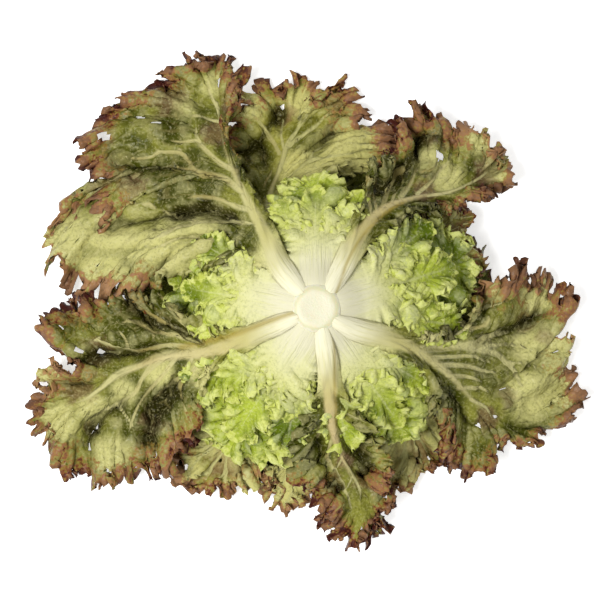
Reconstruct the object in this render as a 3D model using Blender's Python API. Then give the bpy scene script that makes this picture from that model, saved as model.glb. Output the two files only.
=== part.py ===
"""A head of curly red-edged lettuce, as cut, lying face down on a table.

The cut stem is on top. Rings of leaves grow from its side, arch over the heart and come down
to the table, the outermost leaves over the others. Metres, +Z up. The origin is on the table,
straight under the stem, in the flat spot that the heart rests on.
"""

import math
from collections import namedtuple

import bpy
import numpy as np

MM = 0.001

# Driving dimensions, in millimetres
HEAD_HEIGHT = 105.0
STEM_CUT_RADIUS = 13.0
STEM_TIP_RADIUS = 6.0
STEM_SHOULDER_HEIGHT = 94.0
STEM_TIP_HEIGHT = 62.0
CUT_EDGE_BEVEL = 0.8
BLADE_THICKNESS = 0.9
JOINT_GAP = 0.35
LOWEST_BLADE_MIDDLE = 0.5
FLAT_SPOT_RADIUS = 9.0

# How a blade's side veins run from the rib to the margin
LAST_VEIN_START = 0.85
VEIN_START_POWER = 1.2
VEIN_FORWARD = 0.65
VEIN_SIDEWAYS = 0.35
RIB_FLANK = 5.0
RIB_TIP_WIDTH = 1.5
RIB_TAPER = 1.3

# How the margin waves: full size past a radius and past a quarter of the margin, felt less
# towards the rib, and uneven in length. Every second point is drawn in as the gap of a tooth.
WAVE_FULL_RADIUS = 70.0
WAVE_FULL_PROGRESS = 0.25
WAVE_INWARD_POWER = 1.6
WAVE_WANDER = 0.9
WANDER_LENGTH = 2.7
TOOTH_DEPTH = 4.0
SHORTEST_TOOTH_BAND = 20.0
DROOP_WIDTH = 45.0
DROOP_POWER = 1.5

DOME_SAMPLES = 240
MARGIN_SAMPLES = 260

# A ring of leaves. dome is the four handles (radius, height) of the arch that its leaves follow,
# out from the stem and down to the table. rib_height is how far the rib stands out of the blade
# at the stem, wave_height the size of the margin's broad waves, wave_lift how far they are moved
# up off the ring below, frill the size of its short waves, droop how far the sides hang below
# the rib. A leaf has half_rows rows a side, twice as many on the margin, and bands across.
Ring = namedtuple("Ring", "dome rib_height rib_width wave_height wave_lift frill droop half_rows bands")

RINGS = {
    "outer": Ring(((14, 96), (52, 103), (85, 20), (170, 5)), 5.0, 7.5, 11.0, 0.40, 2.4, 4.0, 19, 4),
    "inner": Ring(((13.5, 88), (47, 92), (70, 41), (98, 27)), 3.0, 5.5, 5.0, 0.05, 1.6, 3.0, 12, 3),
    "second": Ring(((12, 79), (42, 84), (70, 8), (135, 4)), 4.0, 6.5, 7.0, 0.10, 2.0, 2.0, 15, 3),
    "deep": Ring(((10, 70), (38, 74), (56, 2), (112, 2)), 3.0, 5.0, 5.0, 0.0, 1.6, 2.0, 10, 2),
    "heart": Ring(((4, 56), (22, 70), (30, 12), (60, 4)), 1.5, 4.0, 4.5, 0.0, 1.2, 0.0, 7, 2),
}

# A leaf's rib and its two margins, each from the stem out to the tip, as (radius, azimuth).
# Azimuth is in degrees round the stem from +X. left is the side of the larger azimuths.
Leaf = namedtuple("Leaf", "name ring rib left right waves phase")

DRAWN_LEAVES = [
    Leaf(
        "outer_leaf_1", "outer",
        rib=[(14, 134), (31, 130), (46, 125), (70, 122.4), (95, 120), (124, 115.8), (148, 112.7)],
        left=[(14, 155), (30, 145), (42, 146), (54, 155), (68, 163), (84, 168), (104, 171.5), (122, 173),
              (134, 173), (146, 170), (154, 165), (148, 160), (120, 159.5), (134, 155), (136, 151),
              (148, 149), (154, 143.5), (154, 138), (151, 130), (152, 123), (151, 117), (148, 112.7)],
        right=[(14, 113), (30, 118), (45, 117), (60, 117.5), (80, 117), (95, 114.5), (108, 111), (118, 107),
               (129, 105.5), (140, 108), (148, 112.7)],
        waves=14, phase=0.4,
    ),
    Leaf(
        "outer_leaf_2", "outer",
        rib=[(14, 203), (37, 203), (57, 202.5), (81, 198.5), (99, 198.4), (128, 200.7), (168, 201.7)],
        left=[(14, 222), (30, 214), (46, 212), (60, 211), (72, 216), (84, 222), (96, 226), (110, 227.5),
              (124, 227), (137, 223), (152, 219), (164, 215), (163, 209), (168, 201.7)],
        right=[(14, 184), (30, 192), (46, 193.5), (60, 190), (72, 183), (86, 178.5), (104, 177),
               (122, 177.5), (138, 178.5), (146, 185), (136, 191), (149, 192.5), (159, 196.5), (168, 201.7)],
        waves=14, phase=2.1,
    ),
    Leaf(
        "outer_leaf_3", "outer",
        rib=[(14, 286), (36, 280.7), (52, 278), (67, 278), (80, 280), (105, 282.5), (128, 279)],
        left=[(14, 301), (25, 295), (38, 291), (52, 290), (66, 295), (80, 295), (94, 293), (106, 291),
              (118, 289), (127, 285), (128, 279)],
        right=[(14, 264), (25, 269), (38, 271), (50, 268), (62, 263.5), (76, 261), (88, 263), (97, 268.5),
               (108, 271), (120, 273), (127, 275.5), (128, 279)],
        waves=10, phase=1.2,
    ),
    Leaf(
        "outer_leaf_4", "outer",
        rib=[(14, -34), (34, -24.5), (51, -22.3), (77, -26.3), (101, -31), (125, -30.5), (149, -25.5)],
        left=[(14, -14), (30, -13), (46, -13), (60, -13), (72, -8), (82, -1), (95, 7), (112, 11.5),
              (124, 9), (135, 4), (132, -4), (143, -11), (149, -17), (149, -25.5)],
        right=[(14, -51), (26, -42), (42, -33), (57, -29.5), (72, -35), (88, -42), (104, -47.5), (118, -49),
               (125, -43.5), (125, -37.5), (138, -30.5), (149, -25.5)],
        waves=13, phase=3.3,
    ),
    Leaf(
        "outer_leaf_5", "outer",
        rib=[(14, 54), (38, 59.5), (61, 56.4), (79, 47.8), (98, 40), (129, 36)],
        left=[(14, 74), (28, 71), (44, 69), (58, 68), (70, 69), (84, 66), (96, 63.5), (108, 66.5),
              (118, 65), (123, 58), (125, 51), (128, 46), (127, 41), (131, 38), (129, 36)],
        right=[(14, 34), (26, 45), (42, 49), (56, 48), (67, 45), (79, 39.5), (93, 35.5), (107, 33.5),
               (120, 32.5), (129, 36)],
        waves=11, phase=5.0,
    ),
    Leaf(
        "second_leaf_1", "second",
        rib=[(12, 118), (40, 119), (60, 115), (77, 105), (100, 98), (128, 92.5)],
        left=[(12, 142), (30, 138), (45, 133), (62, 127), (80, 120), (98, 116), (113, 113), (122, 109),
              (124, 103), (125, 98), (128, 92.5)],
        right=[(12, 98), (30, 104), (45, 105), (58, 103), (66, 92), (75, 78), (86, 67), (98, 61.5),
               (106, 67), (107, 75), (121, 79), (122, 84), (114, 88), (128, 92.5)],
        waves=12, phase=0.9,
    ),
    Leaf(
        "second_leaf_2", "second",
        rib=[(12, 230), (40, 232), (80, 237), (117, 240)],
        left=[(12, 244), (30, 246), (50, 248), (70, 249.5), (90, 251), (104, 250.5), (112, 245),
              (117, 240)],
        right=[(12, 212), (30, 213), (50, 212), (72, 212), (92, 217), (110, 224), (121, 230), (122, 235),
               (117, 240)],
        waves=11, phase=2.7,
    ),
    Leaf(
        "second_leaf_3", "second",
        rib=[(12, 260), (45, 261), (80, 261), (112, 260.5)],
        left=[(12, 272), (30, 275), (50, 276), (75, 274), (95, 271.5), (108, 267), (112, 260.5)],
        right=[(12, 248), (30, 250), (50, 252), (70, 253), (88, 254), (100, 254.5), (109, 256.5),
               (112, 260.5)],
        waves=9, phase=4.4,
    ),
    Leaf(
        "second_leaf_4", "second",
        rib=[(12, -50), (50, -49), (80, -51), (109, -55)],
        left=[(12, -28), (30, -27), (50, -28), (72, -34), (92, -41), (108, -45), (112, -50), (109, -55)],
        right=[(12, -74), (30, -77), (50, -77), (70, -76), (90, -74), (105, -71), (111, -67), (105, -61),
               (101, -58), (109, -55)],
        waves=11, phase=0.3,
    ),
    Leaf(
        "second_leaf_5", "second",
        rib=[(12, 36), (50, 35), (80, 31), (99, 30)],
        left=[(12, 58), (30, 56), (50, 52), (70, 46), (86, 41), (96, 36), (99, 30)],
        right=[(12, 14), (30, 17), (50, 17), (70, 15), (84, 12.5), (95, 15), (88, 21), (88, 26),
               (99, 30)],
        waves=9, phase=5.6,
    ),
]

# The other leaves follow one rule: name, ring, azimuth at the stem, sweep of the rib from there
# to the tip, reach in millimetres, half the angle that the leaf covers, waves and phase.
RULED_LEAVES = [
    ("inner_leaf_1", "inner", 170, -2, 80, 27, 9, 4.2),
    ("inner_leaf_2", "inner", 234, 2, 92, 29, 10, 3.1),
    ("inner_leaf_3", "inner", 304, 1, 86, 29, 9, 4.9),
    ("inner_leaf_4", "inner", 15, 3, 88, 31, 10, 0.2),
    ("inner_leaf_5", "inner", 89, 3, 72, 28, 9, 2.2),
    ("deep_leaf_1", "deep", 168, 4, 108, 33, 9, 2.0),
    ("deep_leaf_2", "deep", 240, 2, 102, 33, 8, 0.5),
    ("deep_leaf_3", "deep", 306, -2, 96, 30, 8, 3.6),
    ("deep_leaf_4", "deep", 10, 0, 98, 30, 8, 5.1),
    ("deep_leaf_5", "deep", 80, -2, 98, 34, 8, 1.4),
]

# The ruled margin: share of the reach, share of the half angle
RULED_MARGIN = [(0.28, 1.0), (0.50, 1.0), (0.72, 0.92), (0.88, 0.70), (0.97, 0.38), (1.0, 0.0)]

HEART_LEAFLETS = 7
HEART_REACH = 44.0
HEART_SPREAD = 27.0
HEART_UNEVEN = 3.0
HEART_WAVES = 4
HEART_PHASE_STEP = 1.7
HEART_CORE = [(0.0, 0.0), (FLAT_SPOT_RADIUS, 0.0), (13.0, 6.0), (14.0, 20.0), (12.5, 40.0),
              (9.0, 54.0), (5.5, 59.5), (0.0, 61.0)]
CORE_SIDES = 12
STEM_SIDES = 36

COLOURS = {
    "stem": (0.90, 0.88, 0.70),
    "outer": (0.30, 0.36, 0.12),
    "second": (0.36, 0.44, 0.14),
    "inner": (0.55, 0.66, 0.22),
    "deep": (0.30, 0.38, 0.12),
    "heart": (0.68, 0.76, 0.32),
}
WAXY_ROUGHNESS = 0.45


def clear_scene():
    for thing in list(bpy.data.objects):
        bpy.data.objects.remove(thing)


def material(name):
    made = bpy.data.materials.new(name)
    made.use_nodes = True
    shader = made.node_tree.nodes["Principled BSDF"]
    shader.inputs["Base Color"].default_value = (*COLOURS[name], 1.0)
    shader.inputs["Roughness"].default_value = WAXY_ROUGHNESS
    shader.inputs["Metallic"].default_value = 0.0
    return made


def smooth_curve(points, count):
    """Samples of a Catmull-Rom curve through the points, count of them, ends included."""
    knots = np.array(points, float)
    knots = np.vstack([2 * knots[0] - knots[1], knots, 2 * knots[-1] - knots[-2]])
    place = np.linspace(0, len(points) - 1, count)
    first = np.minimum(place.astype(int), len(points) - 2)
    share = (place - first)[:, None]
    a, b, c, d = (knots[first + step] for step in range(4))
    return 0.5 * (2 * b + (c - a) * share + (2 * a - 5 * b + 4 * c - d) * share**2
                  + (3 * b - a - 3 * c + d) * share**3)


class Dome:
    """The arch of one ring, turned round the stem. run is the distance along it from the stem."""

    def __init__(self, ring):
        share = np.linspace(0, 1, DOME_SAMPLES)[:, None]
        a, b, c, d = (np.array(handle, float) for handle in ring.dome)
        line = (1 - share) ** 3 * a + 3 * share * (1 - share) ** 2 * b
        line += 3 * share**2 * (1 - share) * c + share**3 * d
        self.radius, self.height = line.T
        steps = np.diff(line, axis=0)
        self.run = np.concatenate([[0], np.cumsum(np.hypot(*steps.T))])
        slope = np.gradient(line, axis=0)
        slope /= np.linalg.norm(slope, axis=1)[:, None]
        self.out, self.up = -slope[:, 1], slope[:, 0]

    def run_at(self, radius):
        return np.interp(radius, self.radius, self.run)

    def point(self, run, azimuth, lift):
        """The point at that run and azimuth, moved by lift along the dome's normal."""
        radius = np.interp(run, self.run, self.radius) + lift * np.interp(run, self.run, self.out)
        height = np.interp(run, self.run, self.height) + lift * np.interp(run, self.run, self.up)
        angle = np.radians(azimuth)
        return np.stack([radius * np.cos(angle), radius * np.sin(angle), height], axis=-1)


def ruled_leaf(name, ring, azimuth, sweep, reach, spread, waves, phase):
    """A leaf that is even on both sides, from the ruled margin."""
    start = RINGS[ring].dome[0][0]

    def rib_azimuth(share):
        return azimuth + sweep * share

    def margin(side):
        points = [(start, azimuth + side * spread)]
        for share, width in RULED_MARGIN:
            points.append((reach * share, rib_azimuth(share) + side * spread * width))
        return points

    rib = [(start, azimuth)] + [(reach * share, rib_azimuth(share)) for share in (0.35, 0.7, 1.0)]
    return Leaf(name, ring, rib, margin(1), margin(-1), waves, phase)


def even_margin(dome, points, count):
    """Count points along one margin at even distances, as run, azimuth and distance so far."""
    radius, azimuth = smooth_curve(points, MARGIN_SAMPLES).T
    run = dome.run_at(radius)
    steps = np.linalg.norm(np.diff(dome.point(run, azimuth, 0.0), axis=0), axis=1)
    so_far = np.concatenate([[0], np.cumsum(steps)])
    wanted = np.linspace(0, so_far[-1], count)
    return np.interp(wanted, so_far, run), np.interp(wanted, so_far, azimuth), wanted


def band_shares(length, bands):
    """Where the blade's rows lie between rib and margin: one at the rib's flank, the rest even."""
    flank = np.minimum(0.25, RIB_FLANK / np.maximum(length, RIB_FLANK))
    flank = flank[:, None]
    even = np.linspace(0, 1, bands)[None, 1:]
    return np.hstack([np.zeros_like(flank), flank, flank + (1 - flank) * even])


def blade_grid(leaf):
    """The middle surface of a leaf and the thickness of its rib, over [margin place, band].

    Margin places go from the left of the stem round the tip to the right of the stem. Bands go
    from the rib, where the two sides share their points, out to the margin.
    """
    ring = RINGS[leaf.ring]
    dome = Dome(ring)
    rib_radius, rib_azimuth = smooth_curve(leaf.rib, MARGIN_SAMPLES).T
    rib_run = dome.run_at(rib_radius)
    count = 2 * ring.half_rows + 1
    left_run, left_azimuth, left_length = even_margin(dome, leaf.left, count)
    right_run, right_azimuth, right_length = even_margin(dome, leaf.right, count)
    run = np.concatenate([left_run, right_run[-2::-1]])
    azimuth = np.concatenate([left_azimuth, right_azimuth[-2::-1]])
    total = left_length[-1] + right_length[-1]
    length = np.concatenate([left_length, total - right_length[-2::-1]])
    progress = np.linspace(0, 1, count)
    progress = np.concatenate([progress, progress[-2::-1]])

    start = LAST_VEIN_START * rib_run[-1] * progress**VEIN_START_POWER
    offset = azimuth - np.interp(run, rib_run, rib_azimuth)
    width = np.hypot(run - start, np.radians(offset) * np.interp(run, dome.run, dome.radius))
    share = band_shares(width, ring.bands)
    full = np.minimum(1, progress / WAVE_FULL_PROGRESS)
    place = np.arange(len(run))
    teeth = TOOTH_DEPTH * full * (place % 2)
    share[:, -1] -= teeth / np.maximum(width, SHORTEST_TOOTH_BAND)
    mix = 2 * share * (1 - share)
    control = (start + VEIN_FORWARD * (run - start))[:, None]
    along = start[:, None] * (1 - share) ** 2 + control * mix + run[:, None] * share**2
    turn = offset[:, None] * (mix * VEIN_SIDEWAYS + share**2)
    around = np.interp(along, rib_run, rib_azimuth) + turn

    ripple = 2 * math.pi * leaf.waves * length / total
    wander = WAVE_WANDER * np.sin(ripple / WANDER_LENGTH + 2 * leaf.phase)
    wave = np.sin(ripple + leaf.phase + wander)
    radius = np.interp(run, dome.run, dome.radius)
    full *= np.minimum(1, radius / WAVE_FULL_RADIUS)
    size = ring.wave_height * full * (0.5 * wave + ring.wave_lift)
    lift = size[:, None] * share**WAVE_INWARD_POWER
    lift[:, -1] += ring.frill * full * np.sin(0.5 * math.pi * place + leaf.phase)
    sideways = np.abs(np.radians(turn)) * np.interp(along, dome.run, dome.radius)
    lift -= ring.droop * np.minimum(1, (sideways / DROOP_WIDTH) ** DROOP_POWER)
    middle = dome.point(along, around, lift)
    middle[..., 2] = np.maximum(middle[..., 2], LOWEST_BLADE_MIDDLE)

    to_tip = np.clip(1 - along / rib_run[-1], 0, 1)
    rib_width = RIB_TIP_WIDTH + ring.rib_width * to_tip
    bulge = ring.rib_height * to_tip**RIB_TAPER * np.exp(-((sideways / rib_width) ** 2))
    return middle, bulge


def blade_faces(index, margin):
    """Triangles over the blade's points: index is [row, band], and margin has two places a row."""
    rows, last = index.shape[0] - 1, index.shape[1] - 1
    half = rows // 2
    faces = []
    for row in range(rows):
        for band in range(last):
            a, b = index[row, band], index[row + 1, band]
            c, d = index[row + 1, band + 1], index[row, band + 1]
            faces += [(a, d, b), (b, d, c)] if row < half else [(a, c, b), (a, d, c)]
        a, b = index[row, last], index[row + 1, last]
        d, between, c = margin[2 * row : 2 * row + 3]
        faces += [(a, d, between), (a, between, b), (b, between, c)]
    return np.array(faces)


def blade_mesh(leaf):
    """One closed solid: the outer face, the same triangles as the inner face, and the rim."""
    middle, bulge = blade_grid(leaf)
    inside, inside_bulge = middle[::2, :-1], bulge[::2, :-1]
    rows, last = inside.shape[0] - 1, inside.shape[1] - 1
    half = rows // 2
    index = np.zeros((rows + 1, last + 1), int)
    index[: half + 1, 0] = range(half + 1)
    index[half:, 0] = range(half, -1, -1)
    index[:, 1:] = half + 1 + np.arange((rows + 1) * last).reshape(rows + 1, last)
    margin = index.max() + 1 + np.arange(len(middle))
    points = np.zeros((margin[-1] + 1, 3))
    thick = np.zeros(len(points))
    points[index.ravel()] = inside.reshape(-1, 3)
    thick[index.ravel()] = inside_bulge.ravel()
    points[margin] = middle[:, -1]

    faces = blade_faces(index, margin)
    span = points[faces]
    facing = np.cross(span[:, 1] - span[:, 0], span[:, 2] - span[:, 0])
    normal = np.zeros_like(points)
    for corner in range(3):
        np.add.at(normal, faces[:, corner], facing)
    normal /= np.linalg.norm(normal, axis=1)[:, None]
    if normal[index[half // 2, 0], 2] < 0:
        faces, normal = faces[:, ::-1], -normal

    outer = points + normal * (0.5 * BLADE_THICKNESS + thick)[:, None]
    inner = points - normal * (0.5 * BLADE_THICKNESS + 0.3 * thick)[:, None]
    border = list(index[0]) + list(margin) + list(index[-1, :0:-1])
    edges = {tuple(edge) for three in faces for edge in (three[[0, 1]], three[[1, 2]], three[[2, 0]])}
    below = len(points)
    rim = []
    for here, there in zip(border, border[1:] + border[:1]):
        a, b = (here, there) if (here, there) in edges else (there, here)
        rim += [(b, a, a + below), (b, a + below, b + below)]
    everything = np.vstack([faces, faces[:, ::-1] + below, rim])
    return np.vstack([outer, inner]), everything


def add_object(name, points, faces, finish):
    mesh = bpy.data.meshes.new(name)
    mesh.from_pydata((np.asarray(points) * MM).tolist(), [], [tuple(map(int, face)) for face in faces])
    mesh.materials.append(finish)
    mesh.shade_smooth()
    made = bpy.data.objects.new(name, mesh)
    bpy.context.scene.collection.objects.link(made)
    return made


def add_leaf(leaf, finish):
    return add_object(leaf.name, *blade_mesh(leaf), finish)


def turned_mesh(profile, sides):
    """A profile of (radius, height), from one end on the axis to the other, turned round +Z."""
    points = [(0.0, 0.0, profile[0][1])]
    for radius, height in profile[1:-1]:
        for side in range(sides):
            angle = 2 * math.pi * side / sides
            points.append((radius * math.cos(angle), radius * math.sin(angle), height))
    points.append((0.0, 0.0, profile[-1][1]))
    faces = []
    for side in range(sides):
        after = (side + 1) % sides
        faces.append((0, 1 + after, 1 + side))
        for loop in range(len(profile) - 3):
            low, high = 1 + loop * sides, 1 + (loop + 1) * sides
            faces.append((low + side, low + after, high + after, high + side))
        last = 1 + (len(profile) - 3) * sides
        faces.append((last + side, last + after, len(points) - 1))
    return points, faces


def add_stem(finish):
    """The cut stem: a flat cut face on top, and a taper that ends just above the heart."""
    profile = [
        (0.0, STEM_TIP_HEIGHT),
        (STEM_TIP_RADIUS, STEM_TIP_HEIGHT),
        (STEM_CUT_RADIUS - 1.0, STEM_SHOULDER_HEIGHT - 4.0),
        (STEM_CUT_RADIUS - JOINT_GAP, STEM_SHOULDER_HEIGHT),
        (STEM_CUT_RADIUS - JOINT_GAP, HEAD_HEIGHT - CUT_EDGE_BEVEL),
        (STEM_CUT_RADIUS - JOINT_GAP - CUT_EDGE_BEVEL, HEAD_HEIGHT),
        (0.0, HEAD_HEIGHT),
    ]
    return add_object("stem", *turned_mesh(profile, STEM_SIDES), finish)


def add_heart(finish):
    """Small leaves rooted in a slim core, evenly round it, joined into one solid."""
    core = add_object("heart", *turned_mesh(HEART_CORE, CORE_SIDES), finish)
    leaflets = bpy.data.collections.new("heart_leaflets")
    bpy.context.scene.collection.children.link(leaflets)
    for number in range(HEART_LEAFLETS):
        azimuth = 360.0 / HEART_LEAFLETS * number
        reach = HEART_REACH - HEART_UNEVEN * (number % 2)
        phase = HEART_PHASE_STEP * number
        shape = ruled_leaf("leaflet", "heart", azimuth, 0, reach, HEART_SPREAD, HEART_WAVES, phase)
        leaflet = add_leaf(shape, finish)
        bpy.context.scene.collection.objects.unlink(leaflet)
        leaflets.objects.link(leaflet)
    union = core.modifiers.new("leaflets", "BOOLEAN")
    union.operation = "UNION"
    union.operand_type = "COLLECTION"
    union.collection = leaflets
    union.solver = "MANIFOLD"
    bpy.context.view_layer.objects.active = core
    bpy.ops.object.modifier_apply(modifier=union.name)
    for leaflet in list(leaflets.objects):
        bpy.data.objects.remove(leaflet)
    return core


def build():
    clear_scene()
    finishes = {name: material(name) for name in COLOURS}
    add_stem(finishes["stem"])
    leaves = DRAWN_LEAVES + [ruled_leaf(*row) for row in RULED_LEAVES]
    for leaf in leaves:
        add_leaf(leaf, finishes[leaf.ring])
    add_heart(finishes["heart"])


build()
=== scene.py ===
# %% [markdown]
# # A head of curly lettuce, seen from its cut stem
# The head lies face down. Its leaves grow from the side of a cut stem, arch over the heart and
# come down to the table. We see their undersides: thick pale ribs, raised veins with sunken
# pockets between them, and margins so full of tissue that they have to fold into frills.
# The solid model gives the places and sizes. This script drapes a fine sheet over each solid.

import math
from collections import namedtuple

import bpy
import numpy as np
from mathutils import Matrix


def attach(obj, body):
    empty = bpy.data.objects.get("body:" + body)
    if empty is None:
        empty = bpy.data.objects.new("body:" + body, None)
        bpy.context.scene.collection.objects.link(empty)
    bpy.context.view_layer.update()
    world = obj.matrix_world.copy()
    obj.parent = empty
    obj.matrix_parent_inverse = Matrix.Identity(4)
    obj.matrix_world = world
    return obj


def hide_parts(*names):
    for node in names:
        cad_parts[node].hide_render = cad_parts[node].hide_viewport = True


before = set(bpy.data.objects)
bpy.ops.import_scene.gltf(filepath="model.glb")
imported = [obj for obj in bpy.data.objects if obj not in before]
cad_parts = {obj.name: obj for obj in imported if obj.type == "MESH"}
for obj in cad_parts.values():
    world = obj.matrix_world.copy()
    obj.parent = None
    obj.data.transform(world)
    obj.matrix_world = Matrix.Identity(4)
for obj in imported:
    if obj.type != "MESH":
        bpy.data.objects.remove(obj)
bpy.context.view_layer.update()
MM = 0.001
print("nodes:", ", ".join(sorted(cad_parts)))

# %% [markdown]
# ## Colours
# Colours are easiest to name as they look on a screen, in hexadecimal. Blender's shaders work
# with linear light. Each colour could be typed in as linear numbers, but nobody can read those, so a
# short helper turns one into the other.

# %% Colour helper
def paint(code):
    """A screen colour such as 7f9a4c as the linear red, green, blue and alpha that a shader takes."""
    parts = [int(code[place : place + 2], 16) / 255 for place in (0, 2, 4)]
    linear = [part / 12.92 if part <= 0.04045 else ((part + 0.055) / 1.055) ** 2.4 for part in parts]
    return (*linear, 1.0)


print("cream in linear light:", [round(part, 3) for part in paint("f4f2d4")])

# %% [markdown]
# ## Camera
# The photograph looks straight down at a head about 300 mm across. An orthographic camera would
# show no depth at all, and a near one would blow up the stem. A long lens from two metres keeps
# the stem only a little larger than it would be on the table.

# %% Camera
VIEW_WIDTH = 0.324
CAMERA_HEIGHT = 2.0
SHARP_HEIGHT = 0.03
PHOTO_CENTRE = (-0.0086, 0.0043)

camera_data = bpy.data.cameras.new("camera")
camera = bpy.data.objects.new("camera", camera_data)
bpy.context.scene.collection.objects.link(camera)
camera.location = (*PHOTO_CENTRE, CAMERA_HEIGHT)
camera_data.lens = camera_data.sensor_width * (CAMERA_HEIGHT - SHARP_HEIGHT) / VIEW_WIDTH
bpy.context.scene.camera = camera
print("lens:", round(camera_data.lens, 1), "mm")

# %% [markdown]
# ## Floor
# The head lies on a white table that fades into a white wall. A plane would do for a desk, and here
# it is simply made so large that its rim is never seen. It glows a little, because a real white
# table in a bright room is lit from all sides.

# %% Floor
FLOOR_SIZE = 6.0
FLOOR_DROP = 0.0002
FLOOR_GLOW = 0.55
WHITE = (1.0, 1.0, 1.0, 1.0)

bpy.ops.mesh.primitive_plane_add(size=FLOOR_SIZE, location=(0, 0, -FLOOR_DROP))
floor = bpy.context.object
floor.name = "floor"
floor_finish = bpy.data.materials.new("floor")
floor_finish.use_nodes = True
floor_shader = floor_finish.node_tree.nodes["Principled BSDF"]
floor_shader.inputs["Base Color"].default_value = paint("fafafa")
floor_shader.inputs["Roughness"].default_value = 0.9
floor_shader.inputs["Emission Color"].default_value = WHITE
floor_shader.inputs["Emission Strength"].default_value = FLOOR_GLOW
floor.data.materials.append(floor_finish)
print("floor:", FLOOR_SIZE, "m wide")

# %% [markdown]
# ## Light
# The light in the photograph is broad and its shadows are faint, so one window stands high on the
# left. A sun lamp would give hard shadows. A square area lamp gives soft ones, and a plain white
# world fills them in.

# %% Light
SKY_LIGHT = 0.50
WINDOW_PLACE = (-0.6, -0.2, 1.7)
WINDOW_SIZE = 0.6
WINDOW_POWER = 32.5

world = bpy.data.worlds.new("studio")
bpy.context.scene.world = world
world.use_nodes = True
world.node_tree.nodes["Background"].inputs["Color"].default_value = WHITE
world.node_tree.nodes["Background"].inputs["Strength"].default_value = SKY_LIGHT

lamp = bpy.data.lights.new("window", "AREA")
lamp.size = WINDOW_SIZE
lamp.energy = WINDOW_POWER
window = bpy.data.objects.new("window", lamp)
bpy.context.scene.collection.objects.link(window)
window.location = WINDOW_PLACE
window.rotation_euler = window.location.to_track_quat("Z", "Y").to_euler()
bpy.context.scene.view_settings.view_transform = "Standard"
print("window:", WINDOW_POWER, "W at", WINDOW_PLACE)

# %% [markdown]
# ## Where the leaves lie
# The leaves grow in rings. Each one leaves the stem, arches over and comes down to the table. Each
# could be bent by hand, but leaves of one ring lie alike, so each ring has one arch, a curve in
# radius and height that is turned round the stem. Lengths are in millimetres.

# %% Rings
Ring = namedtuple("Ring", "arch rib_height rib_width wave_height wave_lift droop skirt foot_rise")
RINGS = {
    "outer": Ring(((14, 96), (52, 103), (85, 20), (170, 5)), 4.5, 3.2, 11.0, 0.40, 4.0, 4.0, 4.5),
    "inner": Ring(((13.5, 94.5), (45, 99.5), (68, 46), (98, 27)), 1.0, 2.5, 5.0, 0.05, 3.0, 0.0, 8.0),
    "ruffle": Ring(((13.5, 82), (42, 101), (72, 58), (96, 30)), 0.5, 2.0, 4.0, 0.10, 1.0, 0.0, 0.0),
    "second": Ring(((12, 79), (42, 84), (70, 8), (135, 4)), 3.0, 3.0, 7.0, 0.10, 2.0, 0.0, 0.0),
    "deep": Ring(((10, 70), (38, 74), (56, 2), (112, 2)), 2.5, 3.0, 5.0, 0.0, 2.0, 0.0, 0.0),
    "heart": Ring(((4, 56), (22, 70), (30, 12), (60, 4)), 1.5, 3.0, 4.5, 0.0, 0.0, 0.0, 3.0),
}

print("rings:", ", ".join(RINGS))

# %% [markdown]
# ## Outer leaves
# The five big leaves are all different, so each is drawn in plan as a rib and two margins, by
# radius and by azimuth in degrees. The numbers are those of the solid model, apart from a few places
# on the margins where the fine leaf is wider or narrower than its solid.

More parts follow.
